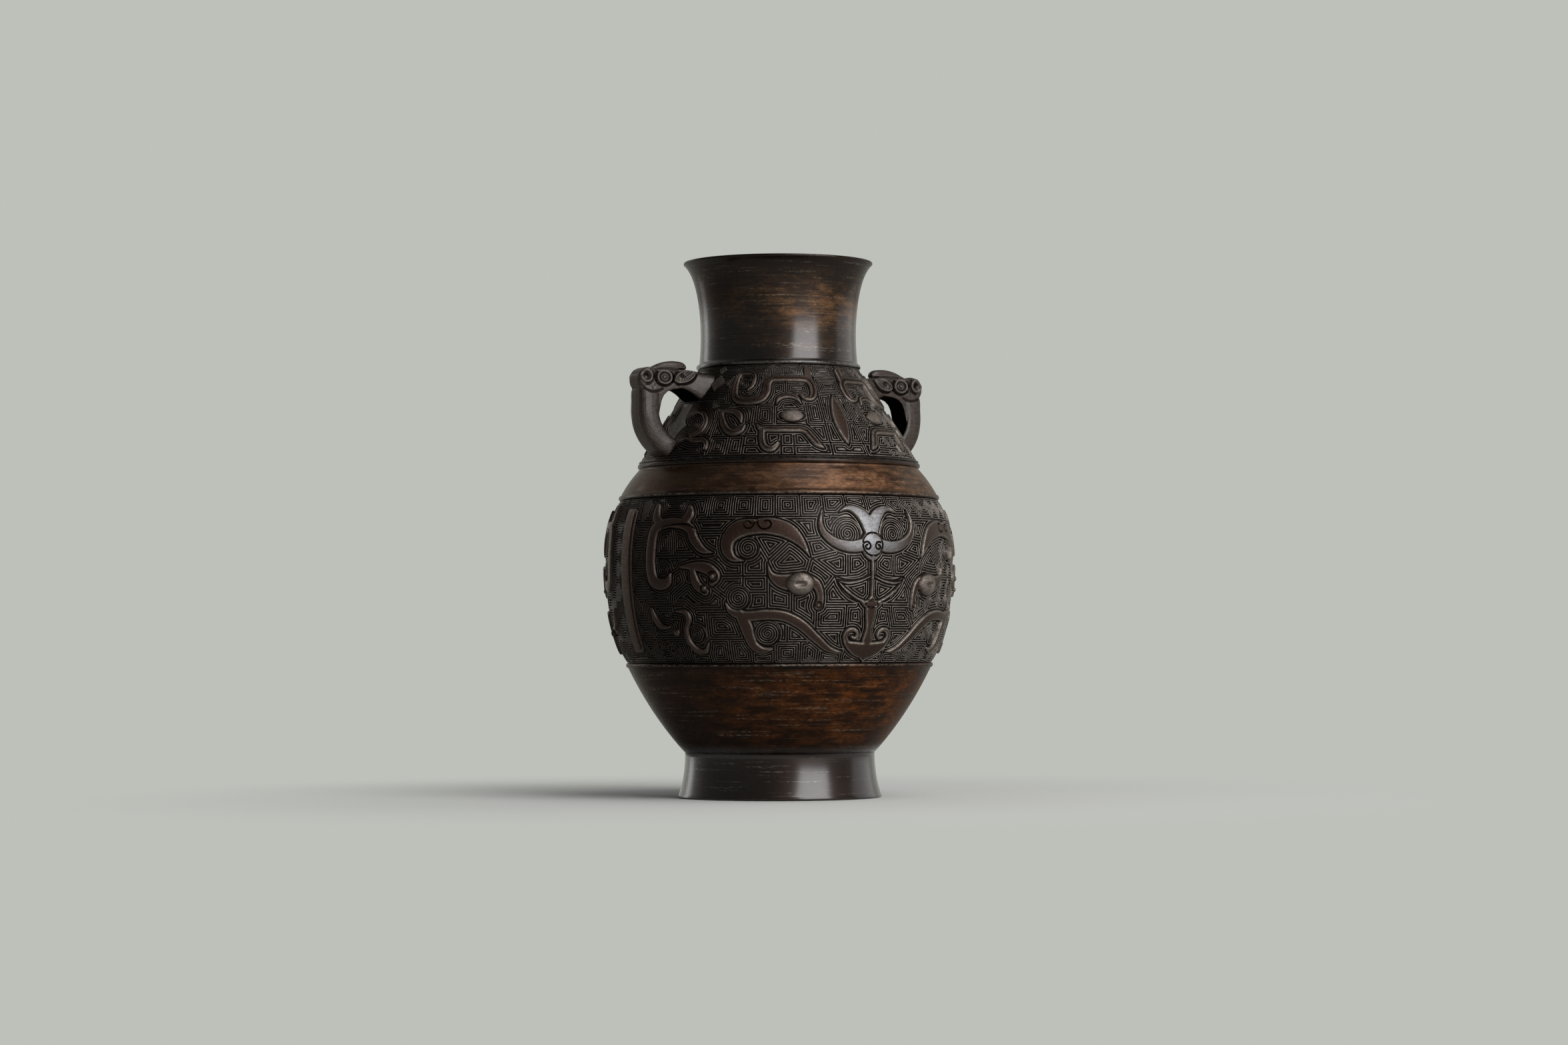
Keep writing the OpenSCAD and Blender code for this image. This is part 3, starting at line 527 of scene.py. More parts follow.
class Frieze:
    """One quarter of a frieze: strokes and domes raised on a ground of rings, with lines cut into them."""

    GRID_STEP = 0.2
    # The flat width of the edge over which the strokes rise, and the moat between them and the ground
    EDGE, MOAT = 1.05, 0.3
    # Heights of the ground's wave at which the mesh has lines, and how high these stand, from 0 to 1
    WAVE_LEVELS, WAVE_RISES = (-0.8, -0.42, 0.35), (1.0, 0.86, 0.0)
    FORM_LEVELS = (0.02, -0.3, -0.75, -1.4)
    DOME_SHARES, PUPIL_SHARES, PUPIL_DEPTH = (1.03, 0.97, 0.86, 0.7, 0.5, 0.3), (1.25, 1.0, 0.6), 1.1
    SHELL = 1.5

    def __init__(self, sheet, strokes, borders, rings, cuts, domes, relief, pitch, depth, groove,
                 flange=False, lens=False):
        self.sheet, self.domes, self.relief, self.depth = sheet, domes, relief, depth
        self.groove_depth, self.groove_half = groove
        self.cuts = [smooth_line(sheet.flat(*np.asarray(cut, float).T), 5) for cut in cuts]
        self.flange = flange
        self.form = Grid(sheet, self.GRID_STEP)
        for points in strokes.values():
            degrees, percent, half = smooth_line(points, 5).T
            z = sheet.low + (sheet.high - sheet.low) * percent / 100
            self.form.lay(np.column_stack([sheet.flat(degrees, z), half * sheet.scale(z)]))
        self.bar = self.form.like()
        if flange:
            self.lay_flange()
        if lens:
            z = np.linspace(LENS_LOW, LENS_HIGH, LENS_POINTS)
            half = LENS_HALF * np.sin(np.linspace(0, math.pi, LENS_POINTS)) ** 0.8
            self.form.lay(np.column_stack([sheet.flat(np.zeros(LENS_POINTS), z), half * sheet.scale(z)]))
        self.wave = self.ground_wave(borders, rings, pitch)

    def lay_flange(self):
        """The upright bar at the frieze's side, and the wider step round it."""
        sheet, form = self.sheet, self.form
        low, high = np.interp([FLANGE_LOW, FLANGE_HIGH], sheet.z, sheet.up)
        dx = sheet.width - form.x[None, :] - FLANGE_HALF
        dy = np.maximum(low - form.y[:, None], form.y[:, None] - high)
        self.bar.v = np.where((dx > 0) & (dy > 0), np.hypot(dx, dy), np.maximum(dx, dy))
        form.v = np.minimum(form.v, self.bar.v - FLANGE_STEP)

    def ground_wave(self, borders, rings, pitch):
        """The squared ground as a wave: rings at one pitch inside every cell, and the given spirals."""
        sheet, form = self.sheet, self.form
        ground = form.like()
        for chain in borders:
            degrees, z = np.asarray(chain, float).T
            flat = sheet.flat(degrees, z)
            if len(chain) == 2:
                flat = along(flat, 3.0)
            elif len(chain) > 3 and np.abs(np.diff(degrees)).min() > 1e-6:
                flat = smooth_line(flat, 5)
            ground.lay(flat)
        near = np.minimum(ground.v, np.minimum(form.y[:, None], sheet.height - form.y[:, None]))
        near = np.minimum(near, np.maximum(form.v - self.MOAT, 0))
        phase = near / pitch
        taken = np.zeros(phase.shape, bool)
        x, y = np.meshgrid(form.x, form.y)
        for degrees, z, radius in rings:
            middle_x, middle_y = sheet.flat(degrees, z)
            radius = radius * sheet.scale(z)
            away = np.hypot(x - middle_x, y - middle_y)
            turn = np.arctan2(y - middle_y, x - middle_x) / (2 * math.pi)
            outside = np.minimum(near, np.maximum(away - radius, 0)) / pitch
            inside = away < radius
            phase = np.where(inside, (radius - away) / pitch + turn,
                             np.where(taken, phase, np.minimum(phase, outside)))
            taken |= inside
        wave = 1 + (np.cos(2 * math.pi * phase) - 1) * np.clip(form.v / self.MOAT, 0, 1)
        wave[[0, -1], :] = 1
        return form.like(wave)

    def lines(self):
        """All points and lines that the mesh follows."""
        sheet, mesh = self.sheet, Carving()
        for level, rise in zip(self.WAVE_LEVELS, self.WAVE_RISES):
            mesh.contours(self.wave, level, 4, 0.035, 4.0, rise)
        for level in self.FORM_LEVELS:
            mesh.contours(self.form, level, 6, 0.02, 1.6)
        if self.flange:
            for level in (0.0, -0.35):
                mesh.contours(self.bar, level, 0, 0.02, 3.0)
        for cut in self.cuts:
            chain = along(cut, 0.45)
            for d in (-self.groove_half, 0, self.groove_half):
                side = aside(chain, d)
                mesh.line(side[inside_sheet(side, sheet, 0.3)])
        for degrees, z, half_x, half_y, _, pupil in self.domes:
            middle = sheet.flat(degrees, z)
            for share in self.DOME_SHARES:
                around = 2 * math.pi * half_x * share
                mesh.ellipse(middle, half_x, half_y, share, max(12, int(around / 0.8)))
            if pupil:
                for share in self.PUPIL_SHARES:
                    mesh.ellipse(middle, *pupil, share, 20)
        inner = lattice(np.arange(1.1, sheet.width - 1, 2.2), np.arange(1.1, sheet.height - 1, 2.2))
        mesh.dots(inner[self.form.at(inner) < -1.9])
        mesh.frame(sheet.width, sheet.height, 2)
        return mesh

    def stroke_top(self, inward, bar_inward):
        """Height of the relief at a distance inward: a round edge and a slightly crowned top."""
        profile = np.sqrt(np.clip(1 - (1 - np.clip(inward / self.EDGE, 0, 1)) ** 2, 0, 1))
        crown = 0.3 * (1 - np.exp(-np.clip(inward - self.EDGE, 0, None) / 2.0))
        top = (self.relief - 0.3) * profile + crown
        if not self.flange:
            return top
        steps = sum(0.5 * self.relief * np.clip(s / 0.35, 0, 1)
                    for s in (bar_inward + FLANGE_STEP, bar_inward))
        return np.where(bar_inward > -FLANGE_STEP, steps, top)

    def cut_share(self, flat):
        """How deep the cut lines reach at each point, from 0 to 1."""
        near = np.full(len(flat), FAR)
        for cut in self.cuts:
            chain = along(cut, 0.6)
            few = np.nonzero((flat > chain.min(0) - 1).all(1) & (flat < chain.max(0) + 1).all(1))[0]
            for a, b in zip(chain, chain[1:]):
                near[few] = np.minimum(near[few], chain_distance(flat[few], a, b))
        return 1 - np.clip(near / self.groove_half, 0, 1) ** 2

    def heights(self, flat, given):
        """Each point's height in mm, and for the material how high up it is and how pale its rubbed edges
        with painted highlights are, 0 to 1.
        """
        inward = -self.form.at(flat)
        between = np.interp(self.wave.at(flat), self.WAVE_LEVELS, self.WAVE_RISES)
        ground = np.where(np.isnan(given), between, given)
        rise = self.depth * ground - 0.7 * self.depth
        top = self.stroke_top(inward, -self.bar.at(flat))
        cut_in = self.cut_share(flat)
        on = inward > 0
        raised = np.where(on, np.maximum(top - self.groove_depth * cut_in, rise), rise)
        # rubbed rims along the strokes' edges, with painted highlights on them
        worn = np.where(on, np.exp(-((inward - 0.55) / 0.45) ** 2), 0.0)
        tall = np.where(on, 0.55 + 0.45 * np.clip(top / self.relief, 0, 1) - 0.55 * cut_in, 0.4 * ground)
        for degrees, z, half_x, half_y, high, pupil in self.domes:
            across, up = (flat - self.sheet.flat(degrees, z)).T
            rho = np.hypot(across / half_x, up / half_y)
            foot, dome = np.clip((1.02 - rho) / 0.06, 0, 1), np.sqrt(np.clip(1 - rho ** 2, 0, 1))
            cap = high * (0.35 * foot + 0.65 * dome)
            if pupil:
                inner = np.hypot(across / pupil[0], up / pupil[1])
                cap = cap - self.PUPIL_DEPTH * np.clip((1.25 - inner) / 0.65, 0, 1)
            on = rho < 1.02
            raised = np.where(on, np.maximum(cap, np.where(rho < 0.97, -FAR, rise)), raised)
            tall = np.where(on, 0.55 + 0.45 * np.clip(cap / high, 0, 1), tall)
            # dome tops: rubbed pale, with a painted highlight
            worn = np.where(on, np.clip(cap / high, 0, 1) ** 2, worn)
        border = (flat[:, 1] < 1e-6) | (flat[:, 1] > self.sheet.height - 1e-6)
        return np.where(border, -self.depth, raised), tall, worn

    def shell(self, flat, faces, raised):
        """The carved face closed by a back, in metres. The side at the mask's middle stays open."""
        width, height = self.sheet.width, self.sheet.height
        low, high, side = flat[:, 1] < 1e-6, flat[:, 1] > height - 1e-6, flat[:, 0] > width - 1e-6
        edges = []
        for on_edge, way in ((low, 0), (high, 0), (side, 1)):
            edge = np.nonzero(on_edge)[0]
            edges.append(edge[np.argsort(flat[edge, way])])
        rim = np.unique(np.concatenate(edges))
        inner = lattice(np.arange(0, width - 2, 4.0), np.arange(3, height - 2, 4.0))
        back, back_faces, origin = triangulated(np.vstack([flat[rim], inner]), [])
        n = len(flat)
        twin = {int(rim[q]): n + k for k, o in enumerate(origin) for q in o if q < len(rim)}
        rise = np.concatenate([raised, np.full(len(back), -self.SHELL)])
        verts = self.sheet.wrap(np.vstack([flat, back]), rise)
        out = [tuple(f) for f in faces] + [tuple(n + i for i in reversed(f)) for f in back_faces]
        for edge, turn in zip(edges, (1, -1, 1)):
            out += [(a, twin[a], twin[b], b)[::turn] for a, b in zip(edge[:-1].tolist(), edge[1:].tolist())]
        return verts, out

    def quarter(self):
        """The mesh: points in metres, faces, and the masks "rise" and "worn" at the points."""
        mesh = self.lines()
        flat, faces, origin = triangulated(mesh.points, mesh.edges)
        given = np.array(mesh.given)
        highest = [given[o][~np.isnan(given[o])] for o in origin]
        raised, tall, worn = self.heights(flat, np.array([h.max() if len(h) else np.nan for h in highest]))
        verts, faces = self.shell(flat, faces, raised)
        plain = np.zeros(len(verts) - len(flat))
        return verts, faces, np.concatenate([tall, plain]), np.concatenate([worn, plain])


def set_masks(me, masks):
    for key, values in masks.items():
        me.attributes.new(key, "FLOAT", "POINT").data.foreach_set("value", np.asarray(values, np.float32))
    me.update()


def mesh_object(name, verts, faces, masks=None):
    me = bpy.data.meshes.new(name)
    me.from_pydata([tuple(v) for v in verts], [], faces)
    set_masks(me, masks or {})
    o = bpy.data.objects.new(name, me)
    bpy.context.collection.objects.link(o)
    return o


def select_only(o=None):
    if bpy.context.object and bpy.context.object.mode != "OBJECT":
        bpy.ops.object.mode_set(mode="OBJECT")
    bpy.ops.object.select_all(action="DESELECT")
    if o:
        o.select_set(True)
        bpy.context.view_layer.objects.active = o


def turn_outward(o, merge=0.0):
    """Merges points closer than a distance in metres and turns all faces outward."""
    select_only(o)
    bpy.ops.object.mode_set(mode="EDIT")
    bpy.ops.mesh.select_all(action="SELECT")
    if merge:
        bpy.ops.mesh.remove_doubles(threshold=merge)
    bpy.ops.mesh.normals_make_consistent(inside=False)
    bpy.ops.object.mode_set(mode="OBJECT")


def modify(o, kind, **settings):
    """Adds a modifier with these settings and applies it."""
    select_only(o)
    modifier = o.modifiers.new(kind.capitalize(), kind)
    for key, value in settings.items():
        setattr(modifier, key, value)
    bpy.ops.object.modifier_apply(modifier=modifier.name)


def frieze_side(name, quarter, back):
    """A whole side of a frieze: a quarter and its mirror image joined, turned round for the back."""
    verts, faces, tall, worn = quarter
    n = len(verts)
    faces = faces + [tuple(n + i for i in reversed(f)) for f in faces]
    verts = np.vstack([verts, verts * [-1, 1, 1]])
    if back:
        verts = verts * [-1, -1, 1]
    o = mesh_object(name, verts, faces, {"rise": np.tile(tall, 2), "worn": np.tile(worn, 2)})
    turn_outward(o, 2e-7)
    bpy.ops.object.shade_smooth_by_angle(angle=math.radians(50))
    return o


# The handle on the +X side: stations of its lofts as [x, z, half depth, half width, flare], in mm
TAIL = [[66.0, 201.4, 5.6, 10.4, 0], [78.0, 206.4, 6.3, 9.6, 0], [84.9, 211.8, 6.5, 9.2, 0],
        [89.6, 218.7, 6.4, 9.0, 0], [91.6, 226.5, 6.2, 8.8, 0], [91.6, 234.0, 6.3, 8.5, 0],
        [91.3, 240.0, 6.5, 8.2, 0], [91.0, 245.0, 4.5, 6.8, 0]]
HEAD = [[92.0, 246.4, 6.4, 7.2, 0], [85.0, 247.0, 6.4, 7.6, 0], [78.0, 247.4, 6.2, 7.9, 0],
        [71.0, 247.2, 6.4, 8.3, 0.03], [64.5, 245.6, 7.6, 9.6, 0.08], [58.5, 243.2, 9.0, 11.2, 0.12],
        [50.0, 240.4, 10.6, 13.2, 0.14]]
CREST = [[90.6, 250.4, 1.6, 2.3, 0], [86.0, 252.0, 2.9, 2.8, 0], [80.6, 253.6, 3.6, 2.9, 0],
         [75.2, 254.6, 3.7, 2.9, 0], [71.0, 254.8, 3.5, 2.9, 0], [68.0, 254.0, 3.8, 2.8, 0],
         [66.4, 252.6, 3.0, 2.6, 0]]
# The arch that rounds the corner under the head: its outline as [x, z], and its half width
ARCH = [[89, 225], [86.2, 226.5], [85.3, 230.5], [84.5, 234.2], [83.0, 237.4], [80.4, 239.8], [76.5, 241.2],
        [71, 241.8], [71, 245], [89, 245]]
ARCH_HALF = 7.9
SNOUT_X, SNOUT_Z, SNOUT_R, SNOUT_HALF, SNOUT_ROUND = 91.4, 246.5, 7.6, 7.3, 2.8
# Middles of the features on the sides of the head, and of the gap under it, as [x, z]
EYE, EAR, NOSTRIL, GAP = (82.4, 248.1), (69.0, 248.9), (94.2, 248.6), (76.0, 229.0)
# How deep the handles' ends reach into the wall, and the height at which that is measured
SEAT_DEPTH, SEAT_Z = 1.9, 228


def loft(name, stations, rounding, points=28):
    """A closed form through rounded rings at stations of [x, z, half depth, half width, flare].

    The rounding is a pair: for the outer and upper side, and for the inner and lower one.
    """
    p = smooth_line(stations)
    a = np.linspace(0, 2 * math.pi, points, endpoint=False)
    c, s = np.cos(a), np.sin(a)
    outer, inner = rounding
    verts = []
    for (x, z, d, w, flare), (tx, tz) in zip(p, directions(p[:, :2])):
        deep = d * np.sign(c) * np.abs(c) ** np.where(c < 0, 0.7, inner)
        wide = w * np.sign(s) * np.abs(s) ** np.where(c < 0, outer, inner) * (1 - flare * c)
        verts.append(np.stack([x - tz * deep, wide, z + tx * deep], 1))
    last = (len(verts) - 1) * points
    faces = [tuple(range(points))[::-1], tuple(last + k for k in range(points))]
    for i in range(0, last, points):
        for k in range(points):
            j = (k + 1) % points
            faces.append((i + k, i + j, i + points + j, i + points + k))
    o = mesh_object(name, np.vstack(verts) * MM, faces)
    turn_outward(o)
    return o


def snout():
    bpy.ops.mesh.primitive_cylinder_add(
        vertices=64, radius=SNOUT_R * MM, depth=2 * SNOUT_HALF * MM,
        location=(SNOUT_X * MM, 0, SNOUT_Z * MM), rotation=(math.pi / 2, 0, 0))
    o = bpy.context.object
    modify(o, "BEVEL", width=SNOUT_ROUND * MM, segments=6, limit_method="ANGLE",
           angle_limit=math.radians(60))
    return o


def arch():
    n = len(ARCH)
    ends = [(x * MM, y * MM, z * MM) for y in (-ARCH_HALF, ARCH_HALF) for x, z in ARCH]
    sides = [(k, (k + 1) % n, n + (k + 1) % n, n + k) for k in range(n)]
    o = mesh_object("arch", ends, [tuple(range(n))[::-1], tuple(range(n, 2 * n))] + sides)
    turn_outward(o)
    return o


def ridges(d, *rows):
    """Rounded ridges and grooves by the distance d: rows of rise, distance of the crest, half width."""
    return sum(rise * np.clip(1 - ((d - middle) / half) ** 2, 0, 1) for rise, middle, half in rows)


def eye_relief(x, z):
    """Two rings round a pupil, a little longer than tall."""
    d = np.hypot((x - EYE[0]) / 1.18, z - EYE[1])
    return ridges(d, (0.9, 3.75, 0.95), (-1.1, 5.0, 0.85), (-0.8, 2.55, 0.6), (0.3, 1.9, 0.5),
                  (1.0, 0, 1.35), (-0.5, 1.45, 0.35))


def ear_relief(x, z):
    """A leaf that points up to the neck, with a raised rim, a fold and a curl with a boss in it."""
    lean, length, width, inner = math.radians(20), 7.4, 3.7, -1.1
    c, s = math.cos(lean), math.sin(lean)
    u = (EAR[0] - x) * c + (z - EAR[1]) * s
    v = (x - EAR[0]) * s + (z - EAR[1]) * c
    half = width * np.clip(1 - (u / length) ** 2, 0, 1) ** np.where(u > 0, 0.85, 0.5)
    edge = np.where(np.abs(u) < length, np.abs(v) - half, np.hypot(np.abs(u) - length, v))
    boss, hollow = np.hypot(u + 3.7, v + 0.5), np.hypot(u + 1.5, v - 0.9)
    curl = ridges(boss, (1.0, 0, 1.5)) + ridges(hollow, (-1.0, 0, 1.5))
    fold = ridges(v - 0.25 * u, (0.6, -0.9, 0.7), (-0.5, 0.4, 0.8))
    return (ridges(edge, (0.95, -0.75, 0.85), (-1.1, 0.75, 0.8)) + np.where(edge < inner, curl, 0)
            + np.where((edge < inner) & (u > -1), fold, 0))


def nostril_relief(x, z):
    """A hole with a boss in it, and a lip that curls round it."""
    across, up = x - NOSTRIL[0], z - NOSTRIL[1]
    d = np.hypot(across, up)
    lip = 3.5 + 1.1 * np.arctan2(up, -across) / (2 * math.pi)
    boss = ridges(np.hypot(across - 0.5, up + 0.8), (1.9, 0, 1.6))
    groove = np.where(across < 0.5, ridges(d - lip, (0.9, 1.5, 0.7)), 0)
    return ridges(d - lip, (0.8, 0, 1.0)) - ridges(d, (1.2, 0.7, 1.9)) * (d < 2.6) + boss - groove


def face_relief(x, z):
    """How far the side of the head stands out, in mm: eye, ear, nostril, and the lines of brow and lip."""
    brow = 252.6 + 0.9 * (1 - ((x - 76) / 12) ** 2)
    lip = 239.4 + 0.05 * (x - 89.5) ** 2
    return (eye_relief(x, z) + ear_relief(x, z) + nostril_relief(x, z)
            + np.where((x > 65) & (x < 89), ridges(z - brow, (-0.6, 0, 0.6), (0.45, 1.2, 0.6)), 0)
            - np.where(x > 83.5, ridges(z - lip, (0.9, 0, 0.9)), 0))


def one_skin(name, voxel):
    """The handle's lofts joined under one soft, smoothed skin, on the +X side."""
    select_only()
    tail = loft(name, TAIL, (0.42, 0.42))
    parts = [loft("head", HEAD, (0.45, 0.45)), loft("crest", CREST, (0.5, 0.7)), snout(), arch()]
    select_only(tail)
    for p in parts:
        p.select_set(True)
    bpy.ops.object.join()
    o = bpy.context.object
    bpy.ops.object.transform_apply(location=True, rotation=True, scale=True)
    o.name = name
    modify(o, "REMESH", mode="VOXEL", voxel_size=voxel)
    modify(o, "SMOOTH", factor=0.5, iterations=10)
    return o


def cut_to_wall(o):
    """Cuts the handle's ends to the shoulder's slope, just inside the wall."""
    slope = math.hypot(SHOULDER_RUN, SHOULDER_RISE)
    normal = Vector((SHOULDER_RISE / slope, 0, SHOULDER_RUN / slope))
    place = Vector((wall_at(SEAT_Z), 0, SEAT_Z)) * MM - normal * SEAT_DEPTH * MM
    select_only(o)
    bpy.ops.object.mode_set(mode="EDIT")
    bpy.ops.mesh.select_all(action="SELECT")
    bpy.ops.mesh.bisect(plane_co=place, plane_no=normal, use_fill=True, clear_inner=True, threshold=1e-7)
    bpy.ops.object.mode_set(mode="OBJECT")


def vectors_of(me, key):
    values = np.empty(len(me.vertices) * 3, np.float32)
    me.vertices.foreach_get(key, values)
    return values.reshape(-1, 3)


def handle_mesh(name, side, voxel):
    """One animal-head handle, on the +X side (1) or the -X side (-1)."""
    o = one_skin(name, voxel)
    cut_to_wall(o)
    me = o.data
    co, normal = vectors_of(me, "co") / MM, vectors_of(me, "normal")
    flank = np.clip((np.abs(normal[:, 1]) - 0.5) / 0.25, 0, 1)
    h = face_relief(co[:, 0], co[:, 2]) * flank
    co = co + normal * h[:, None]
    # painted shade: the faces round the finger gap lie in shade, and the masks below darken them
    toward = np.array(GAP) - co[:, [0, 2]]
    toward /= np.linalg.norm(toward, axis=1)[:, None]
    inner = np.clip(((normal[:, [0, 2]] * toward).sum(1) - 0.35) / 0.35, 0, 1)
    co[:, :2] *= side
    me.vertices.foreach_set("co", (co * MM).astype(np.float32).ravel())
    # the rise mask carries the painted shade round the finger gap as well as the face's height
    rise = np.clip(0.6 + 0.4 * h - 0.5 * inner, 0, 1)
    # worn: the face's raised marks rubbed pale with painted highlights, kept off the faces in painted shade
    set_masks(me, {"rise": rise, "worn": np.clip(h, 0, 1) * (1 - inner)})
    modify(o, "SMOOTH", factor=0.4, iterations=2)
    bpy.ops.object.shade_smooth()
    return o


def inside_line(line, low, high, step=1):
    """The wall's inner face beside an outer line, from the top down, between two heights."""
    inner = aside(line, WALL)[::-step]
    return inner[(inner[:, 1] > low) & (inner[:, 1] < high)]


def under_frieze(line, step=6, sink=0.75):
    """The plain wall behind a frieze: the line set back, apart from its ends."""
    sunk = aside(line[::step], sink)
    sunk[[0, -1]] = line[[0, -1]]
    return sunk


def body_profile():
    """The body's section, from the middle underneath over the mouth to the middle of the floor."""
    floor_top, floor_under = FOOT_HEIGHT + FLOOR / 2, FOOT_HEIGHT - FLOOR / 2
    floor_r, floor_round = 30, 1.6
    under = [
        [[0, floor_under], [floor_r, floor_under], [WAIST_R - WALL - 2, floor_under]],
        inside_line(FOOT_LINE, 1, floor_under - 1), [[FOOT_R - WALL, 0.2], [FOOT_R - WALL + 0.3, 0]],
    ]
    outer = [
        [[FOOT_R - 0.6, 0], [FOOT_R - 0.15, 0.25]], FOOT_LINE, LOWER_LINE, bead(LOWER_R, Z_LOWER),
        under_frieze(BELLY_LINE), bead(UPPER_R, Z_UPPER), BAND_LINE,
        bead(SHOULDER_R + 0.8, Z_SHOULDER - HALF),
        bead(SHOULDER_R + 0.3, Z_SHOULDER + HALF / 2, HALF / 2, FILLET_DEPTH * 0.8),
        under_frieze(SHOULDER_LINE), bead(NECK_BASE_R, Z_NECK), NECK_LINE,
        [[RIM_R - 0.05, Z_RIM - 1.1], [RIM_R, Z_RIM - 0.7], [RIM_R - 0.12, Z_RIM - 0.3],
         [RIM_R - 0.45, Z_RIM], [RIM_R - LIP + 0.5, Z_RIM], [RIM_R - LIP, Z_RIM - 0.25]],
    ]
    inner = [
        inside_line(NECK_LINE, 0, Z_RIM - LIP_HEIGHT), inside_line(SHOULDER_LINE, 0, Z_RIM, 6),
        inside_line(BAND_LINE, 0, Z_RIM), inside_line(BELLY_LINE, 0, Z_RIM, 8),
        inside_line(LOWER_LINE, floor_top + floor_round, Z_RIM),
        [[WAIST_R - WALL + 0.8, floor_top + 0.6], [WAIST_R - WALL - 1, floor_top], [floor_r, floor_top],
         [0, floor_top]],
    ]
    return np.vstack([np.asarray(piece, float) for piece in under + outer + inner])


def spun_body(name, steps):
    profile = body_profile()
    select_only()
    bpy.ops.mesh.primitive_circle_add(vertices=len(profile), radius=0.1)
    o = bpy.context.object
    o.name = name
    for v, (r, z) in zip(o.data.vertices, profile):
        v.co = (r * MM, 0, z * MM)
    bpy.ops.object.mode_set(mode="EDIT")
    bpy.ops.mesh.select_all(action="DESELECT")
    bm = bmesh.from_edit_mesh(o.data)
    for e in bm.edges:
        if all(abs(v.co.x) < 1e-7 for v in e.verts):
            e.select_set(True)
    bmesh.update_edit_mesh(o.data)
    bpy.ops.mesh.delete(type="EDGE")
    bpy.ops.mesh.select_all(action="SELECT")
    bpy.ops.mesh.spin(steps=steps, angle=2 * math.pi, center=(0, 0, 0), axis=(0, 0, 1))
    bpy.ops.mesh.select_all(action="SELECT")
    bpy.ops.mesh.remove_doubles(threshold=1e-6)
    bpy.ops.mesh.dissolve_degenerate(threshold=1e-7)
    bpy.ops.mesh.normals_make_consistent(inside=False)
    bpy.ops.object.mode_set(mode="OBJECT")
    bpy.ops.object.shade_smooth()
    return o


class Tree:
    """Short ways to add nodes to a material, a world or a group, and to join them."""

    def __init__(self, tree):
        self.nodes, self.links = tree.nodes, tree.links

    def feed(self, node, inputs):
        """Puts sockets, numbers, vectors or colours into a node's inputs, by name or number."""
        for key, value in inputs.items():
            socket = node.inputs[key]
            if isinstance(value, bpy.types.NodeSocket):
                self.links.new(value, socket)
            elif isinstance(value, (int, float)):
                socket.default_value = value
            else:
                socket.default_value = (*value[:3], 1)[:len(socket.default_value)]

    def add(self, kind, inputs=None, **settings):
        node = self.nodes.new("ShaderNode" + kind)
        for key, value in settings.items():
            setattr(node, key, value)
        self.feed(node, inputs or {})
        return node

    def math(self, operation, *values, clamp=False):
        return self.add("Math", dict(enumerate(values)), operation=operation, use_clamp=clamp).outputs[0]

    def times(self, a, b):
        return self.math("MULTIPLY", a, b, clamp=True)

    def line(self, value, slope, start, clamp=False):
        """The value times the slope, plus the start."""
        return self.math("MULTIPLY_ADD", value, slope, start, clamp=clamp)

    def vector(self, operation, *values):
        return self.add("VectorMath", dict(enumerate(values)), operation=operation).outputs

    def beyond(self, value, low, high, least=0.0, way="LINEAR"):
        """The least at the low value, 1 at the high one."""
        inputs = {"Value": value, "From Min": low, "From Max": high, "To Min": least}
        return self.add("MapRange", inputs, interpolation_type=way).outputs[0]

    def mix(self, factor, a, b):
        return self.add("Mix", {0: factor, 6: a, 7: b}, data_type="RGBA").outputs[2]

    def ramp(self, value, stops):
        """Colours or greys by the value, at stops of (place, colour or grey)."""
        node = self.add("ValToRGB", {0: value})
        elements = node.color_ramp.elements
        elements.remove(elements[-1])
        for k, (place, colour) in enumerate(stops):
            stop = elements.new(place) if k else elements[0]
            stop.position = place
            stop.color = (colour,) * 3 + (1,) if isinstance(colour, (int, float)) else (*colour, 1)
        return node.outputs[0]

    def coordinates(self, kind="Object"):
        return self.add("TexCoord").outputs[kind]

    def mask(self, name):
        """A mask that the mesh carries at its points."""
        return self.add("Attribute", attribute_name=name).outputs["Fac"]


def srgb(r, g, b):
    return tuple(((v / 255 + 0.055) / 1.055) ** 2.4 if v > 10 else v / 255 / 12.92 for v in (r, g, b))


def patina_group():
    """Mottling, brush streaks and fine pits of a waxed patina, on the object's own coordinates."""
    if "Waxed patina" in bpy.data.node_groups:
        return bpy.data.node_groups["Waxed patina"]
    group = bpy.data.node_groups.new("Waxed patina", "ShaderNodeTree")
    for label, size in (("Patch Size", 0.012), ("Streak Size", 0.0012)):
        socket = group.interface.new_socket(label, in_out="INPUT", socket_type="NodeSocketFloat")
        socket.default_value = size
    for label in ("Patches", "Fine Patches", "Streaks", "Pits"):
        group.interface.new_socket(label, in_out="OUTPUT", socket_type="NodeSocketFloat")
    sizes, result = group.nodes.new("NodeGroupInput").outputs, group.nodes.new("NodeGroupOutput")
    t = Tree(group)
    coords = t.coordinates()

    def noise(label, scale, stretch, detail, rough, shift):
        place = t.add("Mapping", {"Vector": coords, "Scale": stretch, "Location": shift}).outputs[0]
        texture = t.add("TexNoise", {"Vector": place, "Scale": scale, "Detail": detail, "Roughness": rough})
        t.feed(result, {label: t.beyond(texture.outputs["Fac"], 0.3, 0.7)})

    per_patch = t.math("DIVIDE", 1.0, sizes["Patch Size"])
    per_streak = t.math("DIVIDE", 1.0, sizes["Streak Size"])
    noise("Patches", per_patch, (0.62, 0.62, 2.0), 8, 0.72, (0.31, 0.12, 0.7))
    noise("Fine Patches", t.math("MULTIPLY", per_patch, 4.5), (0.75, 0.75, 1.8), 6, 0.72, (0.9, 0.4, 0.1))
    noise("Streaks", per_streak, (0.028, 0.028, 1.0), 3, 0.55, (0.2, 0.6, 0.35))
    noise("Pits", 2400.0, (1, 1, 1), 3, 0.6, (0, 0, 0))
    return group


